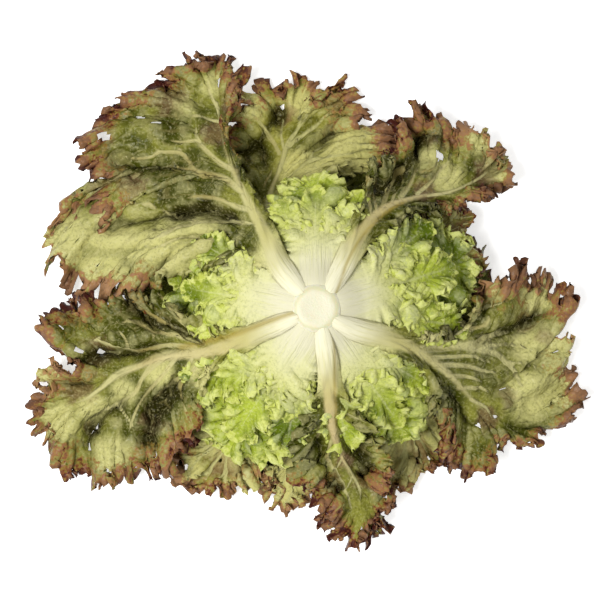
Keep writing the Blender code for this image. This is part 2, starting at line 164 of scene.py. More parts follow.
# %% Outer leaves
Leaf = namedtuple("Leaf", "name ring rib left right waves phase")
OUTER_LEAVES = [
    Leaf(
        "outer_leaf_1", "outer",
        rib=[(14, 134), (31, 130), (46, 125), (70, 122.4), (95, 120), (124, 115.8), (148, 112.7)],
        left=[(14, 155), (30, 145), (42, 146), (54, 155), (68, 163), (84, 170), (104, 175), (122, 176.5),
              (134, 175.5), (146, 171), (154, 165), (148, 160), (120, 159.5), (134, 155), (136, 151),
              (148, 149), (154, 143.5), (154, 138), (151, 130), (152, 123), (151, 117), (148, 112.7)],
        right=[(14, 113), (30, 118), (45, 117), (60, 118.5), (80, 118.5), (95, 117.5), (108, 116),
               (118, 113.5), (129, 108.5), (140, 108.5), (148, 112.7)],
        waves=14, phase=0.4,
    ),
    Leaf(
        "outer_leaf_2", "outer",
        rib=[(14, 203), (37, 203), (57, 202.5), (81, 198.5), (99, 198.4), (128, 200.7), (168, 201.7)],
        left=[(14, 222), (30, 214), (46, 212), (60, 211), (72, 216), (84, 222), (96, 226), (110, 227.5),
              (124, 227), (137, 223), (152, 219), (164, 215), (163, 209), (168, 201.7)],
        right=[(14, 184), (30, 192), (46, 193.5), (60, 189), (72, 180), (86, 175), (104, 174),
               (118, 175.5), (124, 179), (136, 178.5), (146, 185), (136, 191), (149, 192.5),
               (159, 196.5), (168, 201.7)],
        waves=14, phase=2.1,
    ),
    Leaf(
        "outer_leaf_3", "outer",
        rib=[(14, 286), (36, 280.7), (52, 278), (67, 278), (80, 280), (105, 282.5), (128, 279)],
        left=[(14, 301), (25, 295), (38, 291), (52, 290), (66, 295), (80, 295), (94, 293), (106, 291),
              (118, 289), (127, 285), (128, 279)],
        right=[(14, 264), (25, 269), (38, 271), (50, 268), (62, 263.5), (76, 261), (88, 263), (97, 268.5),
               (108, 271), (120, 273), (127, 275.5), (128, 279)],
        waves=10, phase=1.2,
    ),
    Leaf(
        "outer_leaf_4", "outer",
        rib=[(14, -34), (34, -24.5), (51, -22.3), (77, -26.3), (101, -31), (125, -30.5), (149, -25.5)],
        left=[(14, -14), (30, -13), (46, -13), (60, -13), (72, -8), (82, -1), (95, 7), (112, 11.5),
              (124, 9), (135, 4), (132, -4), (143, -11), (149, -17), (149, -25.5)],
        right=[(14, -51), (26, -42), (42, -33), (57, -29.5), (72, -35), (88, -42), (104, -47.5),
               (118, -49), (125, -43.5), (125, -37.5), (138, -30.5), (149, -25.5)],
        waves=13, phase=3.3,
    ),
    Leaf(
        "outer_leaf_5", "outer",
        rib=[(14, 54), (38, 59.5), (61, 56.4), (79, 47.8), (98, 40), (129, 36)],
        left=[(14, 74), (28, 71), (44, 69), (58, 68), (70, 69), (84, 66), (96, 63.5), (108, 66.5),
              (118, 65), (123, 58), (125, 51), (128, 46), (127, 41), (131, 38), (129, 36)],
        right=[(14, 34), (26, 45), (42, 49), (56, 48), (67, 45), (79, 39.5), (93, 35.5), (107, 33.5),
               (120, 32.5), (129, 36)],
        waves=11, phase=5.0,
    ),
]
print("drawn outer leaves:", len(OUTER_LEAVES))

# %% [markdown]
# ## Second leaves
# Between the big leaves and beyond them the next ring is seen. Only parts of these leaves show, so
# their margins are drawn with fewer points where another leaf covers them.

# %% Second leaves
SECOND_LEAVES = [
    Leaf(
        "second_leaf_1", "second",
        rib=[(12, 118), (40, 119), (60, 115), (77, 105), (100, 98), (128, 92.5)],
        left=[(12, 142), (30, 138), (45, 133), (62, 128), (80, 123), (98, 120.5), (113, 116), (122, 110),
              (124, 103), (125, 98), (128, 92.5)],
        right=[(12, 98), (30, 104), (45, 105), (58, 103), (66, 92), (75, 78), (86, 67), (98, 61.5),
               (106, 67), (107, 75), (121, 79), (122, 84), (114, 88), (128, 92.5)],
        waves=12, phase=0.9,
    ),
    Leaf(
        "second_leaf_2", "second",
        rib=[(12, 230), (40, 232), (80, 237), (117, 240)],
        left=[(12, 244), (30, 246), (50, 248), (70, 249.5), (90, 251), (104, 250.5), (112, 245),
              (117, 240)],
        right=[(12, 212), (30, 213), (50, 212), (72, 212), (92, 217), (110, 224), (121, 230), (122, 235),
               (117, 240)],
        waves=11, phase=2.7,
    ),
    Leaf(
        "second_leaf_3", "second",
        rib=[(12, 260), (45, 261), (80, 261), (112, 260.5)],
        left=[(12, 272), (30, 275), (50, 276), (75, 274), (95, 271.5), (108, 267), (112, 260.5)],
        right=[(12, 248), (30, 250), (50, 252), (70, 253), (88, 254), (100, 254.5), (109, 256.5),
               (112, 260.5)],
        waves=9, phase=4.4,
    ),
    Leaf(
        "second_leaf_4", "second",
        rib=[(12, -50), (50, -49), (80, -51), (109, -55)],
        left=[(12, -28), (30, -27), (50, -28), (72, -34), (92, -41), (108, -45), (112, -50), (109, -55)],
        right=[(12, -74), (30, -77), (50, -77), (70, -76), (90, -74), (105, -71), (111, -67), (105, -61),
               (101, -58), (109, -55)],
        waves=11, phase=0.3,
    ),
    Leaf(
        "second_leaf_5", "second",
        rib=[(12, 36), (50, 35), (80, 31), (99, 30)],
        left=[(12, 58), (30, 56), (50, 52), (70, 46), (86, 41), (96, 36), (99, 30)],
        right=[(12, 14), (30, 17), (50, 17), (70, 15), (84, 12.5), (95, 15), (88, 21), (88, 26),
               (99, 30)],
        waves=9, phase=5.6,
    ),
]
print("drawn second leaves:", len(SECOND_LEAVES))

# %% [markdown]
# ## Inner and deep leaves
# The lime leaves near the stem and the ones below, painted dark as painted shade, are alike and
# mostly hidden. Drawing each would be wasted work, so they share one margin, ruled by how far out it
# is and how wide.

# %% Ruled leaves
# name, ring, azimuth at the stem, sweep of the rib, reach, half angle, waves and phase
RULED_LEAVES = [
    ("inner_leaf_1", "inner", 170, -2, 80, 27, 9, 4.2),
    ("inner_leaf_2", "inner", 236, 2, 92, 32, 10, 3.1),
    ("inner_leaf_3", "inner", 304, 1, 86, 30, 9, 4.9),
    ("inner_leaf_4", "inner", 15, 3, 88, 31, 10, 0.2),
    ("inner_leaf_5", "inner", 89, 3, 72, 28, 9, 2.2),
    ("deep_leaf_1", "deep", 168, 4, 108, 33, 9, 2.0),
    ("deep_leaf_2", "deep", 240, 2, 102, 33, 8, 0.5),
    ("deep_leaf_3", "deep", 306, -2, 96, 30, 8, 3.6),
    ("deep_leaf_4", "deep", 10, 0, 98, 30, 8, 5.1),
    ("deep_leaf_5", "deep", 80, -2, 98, 34, 8, 1.4),
]
RULED_FOOT = 1.25
RULED_MARGIN = [(0.28, 1.15), (0.50, 1.0), (0.72, 0.92), (0.88, 0.70), (0.97, 0.38), (1.0, 0.0)]
RULED_RIB = (0.35, 0.7, 1.0)


def ruled_leaf(name, ring, azimuth, sweep, reach, spread, waves, phase):
    """A leaf that is even on both sides, from the ruled margin."""
    start = RINGS[ring].arch[0][0]

    def margin(side):
        points = [(start, azimuth + side * spread * RULED_FOOT)]
        for share, width in RULED_MARGIN:
            points.append((reach * share, azimuth + sweep * share + side * spread * width))
        return points

    rib = [(start, azimuth)] + [(reach * share, azimuth + sweep * share) for share in RULED_RIB]
    return Leaf(name, ring, rib, margin(1), margin(-1), waves, phase)


LEAVES = OUTER_LEAVES + SECOND_LEAVES + [ruled_leaf(*row) for row in RULED_LEAVES]
print(len(LEAVES), "leaves, and the heart")

# %% [markdown]
# ## Smooth curves
# A rib or a margin is a smooth line, but it is drawn with a dozen points. A Bezier curve needs
# handles at each point. A Catmull-Rom curve goes through the points with none, so it suits lines
# that are drawn from numbers.

# %% Smooth curve
CURVE_SAMPLES = 260


def smooth_curve(points, count):
    """Samples of a Catmull-Rom curve through the points, count of them, ends included."""
    knots = np.array(points, float)
    knots = np.vstack([2 * knots[0] - knots[1], knots, 2 * knots[-1] - knots[-2]])
    place = np.linspace(0, len(points) - 1, count)
    first = np.minimum(place.astype(int), len(points) - 2)
    share = (place - first)[:, None]
    a, b, c, d = (knots[first + step] for step in range(4))
    return 0.5 * (2 * b + (c - a) * share + (2 * a - 5 * b + 4 * c - d) * share**2
                  + (3 * b - a - 3 * c + d) * share**3)


print("a corner made smooth:", smooth_curve([(0, 0), (1, 0), (1, 1)], 5).round(2).tolist())

# %% [markdown]
# ## Arches
# An arch turns a flat plan into a leaf that hangs over the heart. A Curve modifier could bend each
# leaf, but it bends one line at a time. Here every point looks up its height and its way out of the
# sheet on the ring's arch, so a leaf lies close on the solid below it.

# %% Arch
class Arch:
    """The arch of one ring, turned round the stem. run is the distance along it from the stem."""

    def __init__(self, ring):
        share = np.linspace(0, 1, CURVE_SAMPLES)[:, None]
        a, b, c, d = (np.array(handle, float) for handle in ring.arch)
        line = (1 - share) ** 3 * a + 3 * share * (1 - share) ** 2 * b
        line += 3 * share**2 * (1 - share) * c + share**3 * d
        self.radius, self.height = line.T
        steps = np.diff(line, axis=0)
        self.run = np.concatenate([[0], np.cumsum(np.hypot(*steps.T))])
        slope = np.gradient(line, axis=0)
        slope /= np.linalg.norm(slope, axis=1)[:, None]
        self.out, self.up = -slope[:, 1], slope[:, 0]

    def run_at(self, radius):
        return np.interp(radius, self.radius, self.run)

    def point(self, run, azimuth, lift):
        """The point at that run and azimuth, moved by lift along the arch's normal."""
        radius = np.interp(run, self.run, self.radius) + lift * np.interp(run, self.run, self.out)
        height = np.interp(run, self.run, self.height) + lift * np.interp(run, self.run, self.up)
        angle = np.radians(azimuth)
        return np.stack([radius * np.cos(angle), radius * np.sin(angle), height], axis=-1)


print("outer arch:", round(float(Arch(RINGS["outer"]).run[-1])), "mm from stem to table")

# %% [markdown]
# ## Noise
# No two frills are alike, yet the head has to be the same each time the script runs. So the noise
# is our own: a table of random numbers from a fixed seed, and smooth steps from one to the next.

# %% Noise
NOISE_SEED = 7
NOISE_SIZE = 64
LAYER_STEP = (17.3, 9.1)
NOISE_TABLE = np.random.default_rng(NOISE_SEED).uniform(-1, 1, (NOISE_SIZE, NOISE_SIZE))


def noise(x, y=0.0, layer=0):
    """Smooth, repeatable bumps from -1 to 1, about one to each unit square. layer picks another set."""
    x, y = (np.asarray(value, float) + step * layer for value, step in zip((x, y), LAYER_STEP))
    x, y = np.broadcast_arrays(x, y)
    column, row = np.floor(x).astype(int), np.floor(y).astype(int)
    across, down = x - column, y - row
    across, down = across**2 * (3 - 2 * across), down**2 * (3 - 2 * down)
    column, row, after, under = (value % NOISE_SIZE for value in (column, row, column + 1, row + 1))
    a, b = NOISE_TABLE[row, column], NOISE_TABLE[row, after]
    c, d = NOISE_TABLE[under, column], NOISE_TABLE[under, after]
    return (a * (1 - across) + b * across) * (1 - down) + (c * (1 - across) + d * across) * down


def ease(value, low, high):
    """0 below low, 1 above high, and a smooth rise between."""
    share = np.clip((value - low) / (high - low), 0, 1)
    return share**2 * (3 - 2 * share)


print("noise at five places:", noise(np.linspace(0, 2, 5)).round(2).tolist())

# %% [markdown]
# ## The margin
# The margin of a leaf runs in and out between its lobes. It could be walked by azimuth, but then a
# part that runs outwards would have no points at all. It is walked by distance, which also keeps
# lobes and teeth the same length everywhere.

# %% Margin
def margin_line(arch, points, places):
    """The margin at places from 0 at the stem to 1 at the tip, as run, azimuth and distance so far."""
    radius, azimuth = smooth_curve(points, CURVE_SAMPLES).T
    run = arch.run_at(radius)
    steps = np.linalg.norm(np.diff(arch.point(run, azimuth, 0.0), axis=0), axis=1)
    so_far = np.concatenate([[0], np.cumsum(steps)])
    wanted = places * so_far[-1]
    return np.interp(wanted, so_far, run), np.interp(wanted, so_far, azimuth), wanted


def unit(arrows):
    """The same arrows, each 1 long."""
    return arrows / (np.linalg.norm(arrows, axis=-1, keepdims=True) + 1e-9)


first_margin = margin_line(Arch(RINGS["outer"]), OUTER_LEAVES[0].left, np.array([1.0]))
print("left margin of the first leaf:", round(float(first_margin[2][-1])), "mm")

# %% [markdown]
# ## The sheet of a leaf
# A leaf could be subdivided from a plane and sculpted. It is a grid of rows and bands instead, since
# rows can be laid as the leaf grew. Each row is a side vein: it leaves the rib, leans forward and
# ends on the margin. The bands are closer together at the margin, where the frills need them, and
# at the rib.

# %% Grid of a leaf
LAST_VEIN_START = 0.85
VEIN_START_POWER = 1.2
VEIN_FORWARD = 0.65
VEIN_SIDEWAYS = 0.35
RIB_TIP_WIDTH = 1.0
RIB_TAPER = 1.3
WAVE_FULL_RADIUS = 70.0
WAVE_FULL_PROGRESS = 0.25
WAVE_INWARD_POWER = 1.6
WAVE_WANDER = 0.9
WANDER_LENGTH = 2.7
DROOP_WIDTH = 45.0
DROOP_POWER = 1.5
BAND_CROWDING = 0.2
ROW_CROWDING = 0.8
RIB_FOOT_WIDTH = 2.5
RIB_FOOT = (12, 48)
RIB_BANK = (1.7, 1.5)
LEAST_WIDTH = 1.0
LIVELY_WIDTH = (5.0, 24.0)
SEED_GROUPS = 13
SKIRT_FROM, SKIRT_TO = 3.0, 11.0
SKIRT_ENDS = (45, 85)
CALM = {"outer": (34, 62), "inner": (22, 52), "ruffle": (26, 48), "second": (40, 80), "deep": (30, 60),
        "heart": (8, 20)}


class Blade:
    """A leaf's sheet as arrays over [row, column]; columns run from the left margin to the right."""

    def __init__(self, leaf, rows, bands):
        self.leaf, self.ring, self.arch = leaf, RINGS[leaf.ring], Arch(RINGS[leaf.ring])
        self.seed = sum(ord(letter) for letter in leaf.name)
        self.paints = {}
        places = np.linspace(0, 1, rows + 1) ** ROW_CROWDING
        even = np.linspace(0, 1, bands + 1)
        even = even - BAND_CROWDING * np.sin(2 * math.pi * even) / (2 * math.pi)
        self.share = np.broadcast_to(np.concatenate([even[::-1], even[1:]]), (rows + 1, 2 * bands + 1))
        self.progress = np.broadcast_to(places[:, None], self.share.shape)
        rib_radius, rib_azimuth = smooth_curve(leaf.rib, CURVE_SAMPLES).T
        rib_run = self.arch.run_at(rib_radius)
        around, margin_radius, total = self.lay_plan(places, rib_run, rib_azimuth)
        self.bend_up(around, margin_radius, total, rib_run[-1])
        self.start = self.points.copy()

    def lay_plan(self, places, rib_run, rib_azimuth):
        """Lays the rows from the rib to the margins, flat along the arch."""
        left = margin_line(self.arch, self.leaf.left, places)
        right = margin_line(self.arch, self.leaf.right, places)
        total = left[2][-1] + right[2][-1]
        is_left = (np.arange(self.share.shape[1]) < self.share.shape[1] // 2)[None, :]
        run = np.where(is_left, left[0][:, None], right[0][:, None])
        azimuth = np.where(is_left, left[1][:, None], right[1][:, None])
        self.trip = np.where(is_left, left[2][:, None], (total - right[2])[:, None])
        self.side = np.where(is_left, 1, -1) * np.ones(run.shape, int)
        start = LAST_VEIN_START * rib_run[-1] * self.progress**VEIN_START_POWER
        offset = azimuth - np.interp(run, rib_run, rib_azimuth)
        mix = 2 * self.share * (1 - self.share)
        self.along = start * (1 - self.share) ** 2 + mix * (start + VEIN_FORWARD * (run - start))
        self.along = self.along + run * self.share**2
        turn = offset * (mix * VEIN_SIDEWAYS + self.share**2)
        self.radius = np.interp(self.along, self.arch.run, self.arch.radius)
        self.sideways = np.abs(np.radians(turn)) * self.radius
        margin_radius = np.interp(run, self.arch.run, self.arch.radius)
        self.width = np.hypot(run - start, np.radians(offset) * margin_radius) + LEAST_WIDTH
        self.from_margin = (1 - self.share) * self.width
        return np.interp(self.along, rib_run, rib_azimuth) + turn, margin_radius, total

    def bend_up(self, around, margin_radius, total, rib_length):
        """Lifts the sheet off the arch: broad waves, drooping sides and a rib that stands out."""
        ripple = 2 * math.pi * self.leaf.waves * self.trip / total
        wander = WAVE_WANDER * np.sin(ripple / WANDER_LENGTH + 2 * self.leaf.phase)
        wave = np.sin(ripple + self.leaf.phase + wander)
        full = np.minimum(1, self.progress / WAVE_FULL_PROGRESS)
        full = full * np.minimum(1, margin_radius / WAVE_FULL_RADIUS)
        lift = self.ring.wave_height * full * (0.5 * wave + self.ring.wave_lift)
        lift = lift * self.share**WAVE_INWARD_POWER
        lift = lift - self.ring.droop * np.minimum(1, (self.sideways / DROOP_WIDTH) ** DROOP_POWER)
        skirt = ease(self.sideways, SKIRT_FROM, SKIRT_TO) * (1 - ease(self.radius, *SKIRT_ENDS))
        lift = lift - self.ring.skirt * skirt
        to_tip = np.clip(1 - self.along / rib_length, 0, 1)
        rib_width = RIB_TIP_WIDTH + self.ring.rib_width * to_tip
        rib_width = rib_width + RIB_FOOT_WIDTH * (1 - ease(self.radius, *RIB_FOOT))
        self.rib = to_tip**RIB_TAPER * np.exp(-((self.sideways / rib_width) ** 2))
        self.bulge = self.ring.rib_height * self.rib
        self.points = self.arch.point(self.along, around, lift + self.bulge)
        self.off_rib = 1 - np.exp(-((self.sideways / (RIB_BANK[0] * rib_width + RIB_BANK[1])) ** 2))
        calm = ease(self.radius, *CALM[self.leaf.ring])
        self.lively = self.off_rib * calm * ease(self.width, *LIVELY_WIDTH)

    def directions(self):
        """Unit arrows along the margin, out to the margin and out of the sheet, at each point."""
        down_rows = unit(np.gradient(self.points, axis=0))
        outward = unit(np.gradient(self.points, axis=1) * -self.side[..., None])
        normal = unit(np.cross(outward, down_rows) * self.side[..., None])
        return down_rows, outward, normal

    def plan_noise(self, size, layer):
        """Noise over the plan of the head, with bumps of that size in millimetres."""
        layer = layer + self.seed % SEED_GROUPS
        return noise(self.start[..., 0] / size, self.start[..., 1] / size, layer)

    def distance_to(self, line):
        """How far each point of the plan is from a line, and where along the line, from 0 to 1."""
        length = np.linalg.norm(np.diff(np.array(line, float), axis=0), axis=1).sum()
        samples = smooth_curve(line, int(length) + 4)
        across = self.start[..., 0, None] - samples[:, 0]
        down = self.start[..., 1, None] - samples[:, 1]
        away = np.hypot(across, down)
        return away.min(axis=-1), away.argmin(axis=-1) / (len(samples) - 1)


trial = Blade(LEAVES[0], 40, 8)
print("first leaf is", round(float(trial.width.max())), "mm from rib to margin at its widest")

# %% [markdown]
# ## Trying out
# Each step below is tried on a coarse copy of the first leaf, to see how far it moves the sheet. The
# copy isn't kept.

# %% Try a step
def try_out(step, *more):
    """Runs a step on the coarse leaf and tells how far it moves the sheet."""
    before = trial.points.copy()
    step(trial, *more)
    furthest = float(np.abs(trial.points - before).max())
    print(step.__name__, "moves the sheet by up to", round(furthest, 1), "mm")


# %% [markdown]
# ## Down to the stem
# In the head each rib grows out of the stem, so there is no gap between them. The solid leaves
# stop just short of it. The fine ones could be joined to it with a bridge of faces, but they are
# pieces of their own, so they are drawn in and up at their foot and end inside the stem.

# %% Foot of a leaf
FOOT_ENDS = 27.0
FOOT_PULL = 2.6


def join_stem(blade):
    """Draws the foot of the leaf into the stem."""
    radius = np.hypot(blade.points[..., 0], blade.points[..., 1])
    foot = 1 - ease(radius, radius.min(), FOOT_ENDS)
    pull = 1 - FOOT_PULL * foot / radius
    blade.points[..., 0] *= pull
    blade.points[..., 1] *= pull
    blade.points[..., 2] += blade.ring.foot_rise * foot


try_out(join_stem)

# %% [markdown]
# ## Creases
# Some folds are large enough to be seen from across the room, such as the one that parts the pale
# lobe of the upper left leaf from the rest. They could be sculpted with a brush. A crease is kept as
# a line in plan instead, that the sheet sinks along, with a depth and a width, so that it can be
# moved later. One with a negative depth is a ridge.

# %% Creases
Crease = namedtuple("Crease", "line depth width")
CREASES = {
    "outer_leaf_1": [
        Crease([(-44, 48), (-58, 52), (-72, 51)], 12.0, 4.5),
        Crease([(-72, 51), (-92, 47), (-118, 43)], 7.0, 3.5),
        Crease([(-60, 43), (-92, 38), (-116, 36)], -5.0, 4.5),
        Crease([(-52, 36), (-42, 39)], 4.0, 2.5),
        Crease([(-44, 92), (-40, 80), (-36, 68)], 7.0, 3.0),
        Crease([(-74, 76), (-90, 75), (-108, 78)], 6.0, 4.0),
    ],
    "outer_leaf_2": [
        Crease([(-60, -15), (-74, -11), (-90, -5), (-102, 2)], 8.0, 4.5),
        Crease([(-74, -22), (-88, -22), (-102, -26), (-124, -26)], 9.0, 4.5),
        Crease([(-72, -42), (-84, -54), (-90, -70)], 9.0, 6.0),
        Crease([(-110, -46), (-128, -42), (-142, -42)], 5.0, 4.0),
        Crease([(-104, -52), (-116, -60), (-124, -74)], 7.0, 4.5),
    ],
    "outer_leaf_3": [
        Crease([(13, -62), (20, -74), (28, -88)], 9.0, 5.5),
        Crease([(4, -64), (2, -76), (4, -88), (12, -98)], 6.0, 3.5),
    ],
    "outer_leaf_4": [
        Crease([(70, -12), (78, -8), (79, 0), (88, 8)], 9.0, 3.5),
        Crease([(88, -16), (102, -12), (114, -6), (124, -3)], 7.0, 4.0),
        Crease([(60, -30), (66, -40), (74, -52), (84, -62)], 6.0, 4.0),
    ],
    "outer_leaf_5": [
        Crease([(34, 62), (44, 70), (52, 82), (58, 94)], 8.0, 4.5),
        Crease([(50, 56), (62, 57), (74, 60)], 5.0, 3.0),
    ],
    "second_leaf_1": [
        Crease([(-10, 70), (-2, 80), (6, 92), (14, 104)], 5.0, 4.0),
        Crease([(-27, 78), (-29, 92), (-22, 106)], 7.0, 5.0),
        Crease([(-4, 72), (14, 82), (36, 88)], -6.0, 7.0),
    ],
    "second_leaf_2": [Crease([(-30, -50), (-34, -66), (-32, -82)], 8.0, 4.0)],
    "second_leaf_3": [Crease([(-8, -58), (-8, -72), (-6, -86)], 7.0, 4.5)],
    "second_leaf_4": [
        Crease([(62, -32), (65, -44), (68, -58)], 10.0, 3.5),
        Crease([(50, -36), (53, -50)], 5.0, 4.0),
    ],
}
print("creases:", sum(len(lines) for lines in CREASES.values()))

# %% [markdown]
# ## Hollows
# A hollow is a round place where the sheet sinks, often where a margin folds under. Few rays get in,
# so how far it sinks is kept as shade for the paint. It could be baked as occlusion, but then it
# would be a picture and not a number on the mesh.

# %% Hollows
Hollow = namedtuple("Hollow", "x y size depth")
HOLLOWS = {
    "outer_leaf_1": [Hollow(-66, 82, 6, 3), Hollow(-60, 64, 7, 4), Hollow(-82, 61, 8, 6),
                     Hollow(-60, 53, 6, 6), Hollow(-78, 97, 6, 6), Hollow(-64, 116, 6, 5),
                     Hollow(-100, 22, 5, 6), Hollow(-82, 23, 4, 5), Hollow(-106, 51, 5, 5)],
    "outer_leaf_2": [Hollow(-85, -56, 9, 7), Hollow(-120, -66, 5, 6), Hollow(-118, -25, 7, 5),
                     Hollow(-88, -74, 6, 5), Hollow(-92, -4, 6, 5), Hollow(-102, 6, 6, 4),
                     Hollow(-128, -41, 7, 3)],
    "outer_leaf_3": [Hollow(20, -74, 7, 6), Hollow(27, -89, 5, 5), Hollow(12, -99, 4, 4)],
    "outer_leaf_4": [Hollow(113, -7, 5, 4), Hollow(103, -45, 6, 5), Hollow(130, -25, 3, 3),
                     Hollow(74, -46, 4, 3)],
    "outer_leaf_5": [Hollow(60, 92, 7, 6), Hollow(68, 91, 5, 4), Hollow(60, 53, 6, 5),
                     Hollow(46, 71, 5, 3), Hollow(33, 68, 5, 3), Hollow(22, 64, 6, 4)],
    "second_leaf_1": [Hollow(-19, 105, 6, 6), Hollow(-32, 88, 6, 7), Hollow(8, 95, 4, 5),
                      Hollow(-41, 84, 6, 8), Hollow(-38, 74, 4, 6)],
    "second_leaf_2": [Hollow(-51, -83, 4, 5), Hollow(-41, -85, 4, 5), Hollow(-64, -54, 4, 6)],
    "second_leaf_4": [Hollow(51, -80, 4, 5), Hollow(62, -81, 4, 5), Hollow(58, -64, 3, 4)],
    "second_leaf_5": [Hollow(60, 52, 7, 7), Hollow(50, 46, 5, 4)],
}
HOLLOW_UNEVEN = 0.25
FULL_SHADE_DEPTH = 8.0


def add_creases(blade):
    """Sinks the sheet along each crease and in each hollow of this leaf, and keeps how far as painted
    shade.
    """
    sunk = np.zeros(blade.share.shape)
    for crease in CREASES.get(blade.leaf.name, []):
        away, _ = blade.distance_to(crease.line)
        sunk = sunk + crease.depth * np.exp(-((away / crease.width) ** 2))
    for hollow in HOLLOWS.get(blade.leaf.name, []):
        away = np.hypot(blade.start[..., 0] - hollow.x, blade.start[..., 1] - hollow.y)
        away = away * (1 + HOLLOW_UNEVEN * blade.plan_noise(5.0, 9))
        sunk = sunk + hollow.depth * np.exp(-((away / hollow.size) ** 2))
    blade.points[..., 2] -= sunk * blade.off_rib
    # painted shade: how far the sheet sank, which the gloom coat paints dark
    blade.paints["shade"] = np.clip(sunk / FULL_SHADE_DEPTH, 0, 1) * blade.off_rib


try_out(add_creases)

# %% [markdown]
# ## Lobes and teeth
# The margin is cut into lobes about a centimetre apart, and each lobe into fine teeth. A Boolean cut
# would leave stubs of grid behind, so the sheet is drawn back along its rows instead, far in the
# notch between two lobes and a little between two teeth.

# %% Lobes and teeth
LOBE_LENGTH = 9.0
LOBE_DEPTH = 9.5
LOBE_REACH = 9.0
LOBE_WANDER, LOBE_WANDER_LENGTH = 0.8, 15
LOBE_SHARE = {"inner": 0.55, "ruffle": 0.3, "heart": 0.3}
NOTCH_SHARPNESS = 4
NOTCH_MEAN, NOTCH_UNEVEN = 0.55, 0.7
OUTGROWTH = 2.8
TOOTH_LENGTH = 2.8
TOOTH_DEPTH = 3.0
TOOTH_REACH = 4.0
TOOTH_WANDER, TOOTH_WANDER_LENGTH = 0.6, 7
TOOTH_MEAN, TOOTH_UNEVEN = 0.6, 0.5
TOOTH_SHARE = {"inner": 1.3, "ruffle": 1.3}


def cut_teeth(blade):
    """Draws the sheet back along its rows, deep between lobes and a little between teeth."""
    wander = LOBE_WANDER * noise(blade.trip / LOBE_WANDER_LENGTH, 0.5, blade.seed % 7)
    turn = blade.trip / LOBE_LENGTH + wander
    uneven = NOTCH_MEAN + NOTCH_UNEVEN * noise(turn / 1.7, 0.2, 6)
    notch = np.abs(np.cos(math.pi * turn)) ** NOTCH_SHARPNESS * uneven
    lobe = (LOBE_DEPTH * notch - OUTGROWTH) * LOBE_SHARE.get(blade.leaf.ring, 1.0)
    wander = TOOTH_WANDER * noise(blade.trip / TOOTH_WANDER_LENGTH, 0.2, blade.seed % 5)
    place = blade.trip / TOOTH_LENGTH + wander
    uneven = TOOTH_MEAN + TOOTH_UNEVEN * noise(blade.trip / 6, 0.7, 8)
    tooth = TOOTH_DEPTH * uneven * (1 - np.abs(np.sin(math.pi * place)))
    tooth = tooth * TOOTH_SHARE.get(blade.leaf.ring, 1.0)
    pull = lobe * np.exp(-blade.from_margin / LOBE_REACH)
    pull = (pull + tooth * np.exp(-blade.from_margin / TOOTH_REACH)) * blade.lively
    _, outward, _ = blade.directions()
    blade.points = blade.points - outward * pull[..., None]


try_out(cut_teeth)

# %% [markdown]
# ## Frills
# The margin of this lettuce grows far longer than the leaf is wide, so it buckles: broad waves,
# folds on the waves, and small crimps on the folds. A cloth simulation could do it, but not the same
# way twice. Here each step moves the sheet along its own normal and, at twice the pace, along the
# margin, which makes the folds lean over their neighbours.

# %% Frills
Frill = namedtuple("Frill", "length height reach")
FRILLS = {
    "outer": [Frill(22, 4.2, 20), Frill(9.5, 3.0, 10), Frill(4.8, 2.0, 5.5), Frill(2.9, 1.2, 3.0)],
    "inner": [Frill(16, 4.2, 16), Frill(7.5, 2.5, 9), Frill(4.0, 1.3, 5), Frill(2.6, 0.6, 2.5)],
    "ruffle": [Frill(14, 3.8, 12), Frill(6.5, 2.2, 8), Frill(3.6, 1.2, 4)],
    "second": [Frill(19, 4.5, 18), Frill(9, 3.0, 10), Frill(4.6, 2.0, 5.5), Frill(2.8, 1.1, 3.0)],
    "deep": [Frill(18, 5.0, 18), Frill(9, 3.0, 9)],
    "heart": [Frill(11, 2.4, 10), Frill(6, 1.4, 6)],
}
UPTURN = {"outer": 1.0, "inner": 1.5, "ruffle": 1.2, "second": 2.0, "deep": 0.0, "heart": 0.0}
UPTURN_REACH = 9.0
UPTURN_SPACING = 12.0
UPTURN_MEAN, UPTURN_UNEVEN = 0.7, 0.6
LEAN = 0.10
CURL = 0.35
FRILL_WANDER = 0.7
FRILL_DRIFT, FRILL_DRIFT_SIZE = 1.2, 16.0
FRILL_MEAN, FRILL_UNEVEN = 0.8, 0.5


def add_frills(blade, frills):
    """Turns the margin up, then folds it, from the longest folds to the shortest."""
    upturn = UPTURN[blade.leaf.ring] * blade.lively * np.exp(-blade.from_margin / UPTURN_REACH)
    uneven = UPTURN_MEAN + UPTURN_UNEVEN * noise(blade.trip / UPTURN_SPACING, 0.4, blade.seed % 11)
    blade.points[..., 2] += upturn * uneven
    for number, frill in enumerate(frills):
        layer = blade.seed % 9 + 11 * number
        along_margin, outward, normal = blade.directions()
        turns = blade.trip / frill.length
        phase = 2 * math.pi * (turns + FRILL_WANDER * noise(turns / 1.6, 0.3, layer))
        phase = phase + FRILL_DRIFT * blade.plan_noise(FRILL_DRIFT_SIZE, layer + 2)
        strength = blade.lively * np.exp(-blade.from_margin / frill.reach)
        strength = strength * (FRILL_MEAN + FRILL_UNEVEN * noise(turns / 1.3, 0.9, layer + 4))
        up = frill.height * strength * np.sin(phase)
        lean = LEAN * frill.length * strength * np.sin(2 * phase + 0.6)
        curl = CURL * frill.height * strength * np.sin(phase + 1.3)
        blade.points = blade.points + normal * up[..., None] + along_margin * lean[..., None]
        blade.points = blade.points + outward * curl[..., None]


try_out(add_frills, FRILLS["outer"])

# %% [markdown]
# ## Crinkles
# The younger a leaf, the more it is puckered between its veins. A Displace modifier would move the
# sheet by a cloudy texture, with round bumps. Real puckers are sharp-crested, so they are made from
# noise folded about zero, longer outwards than across.

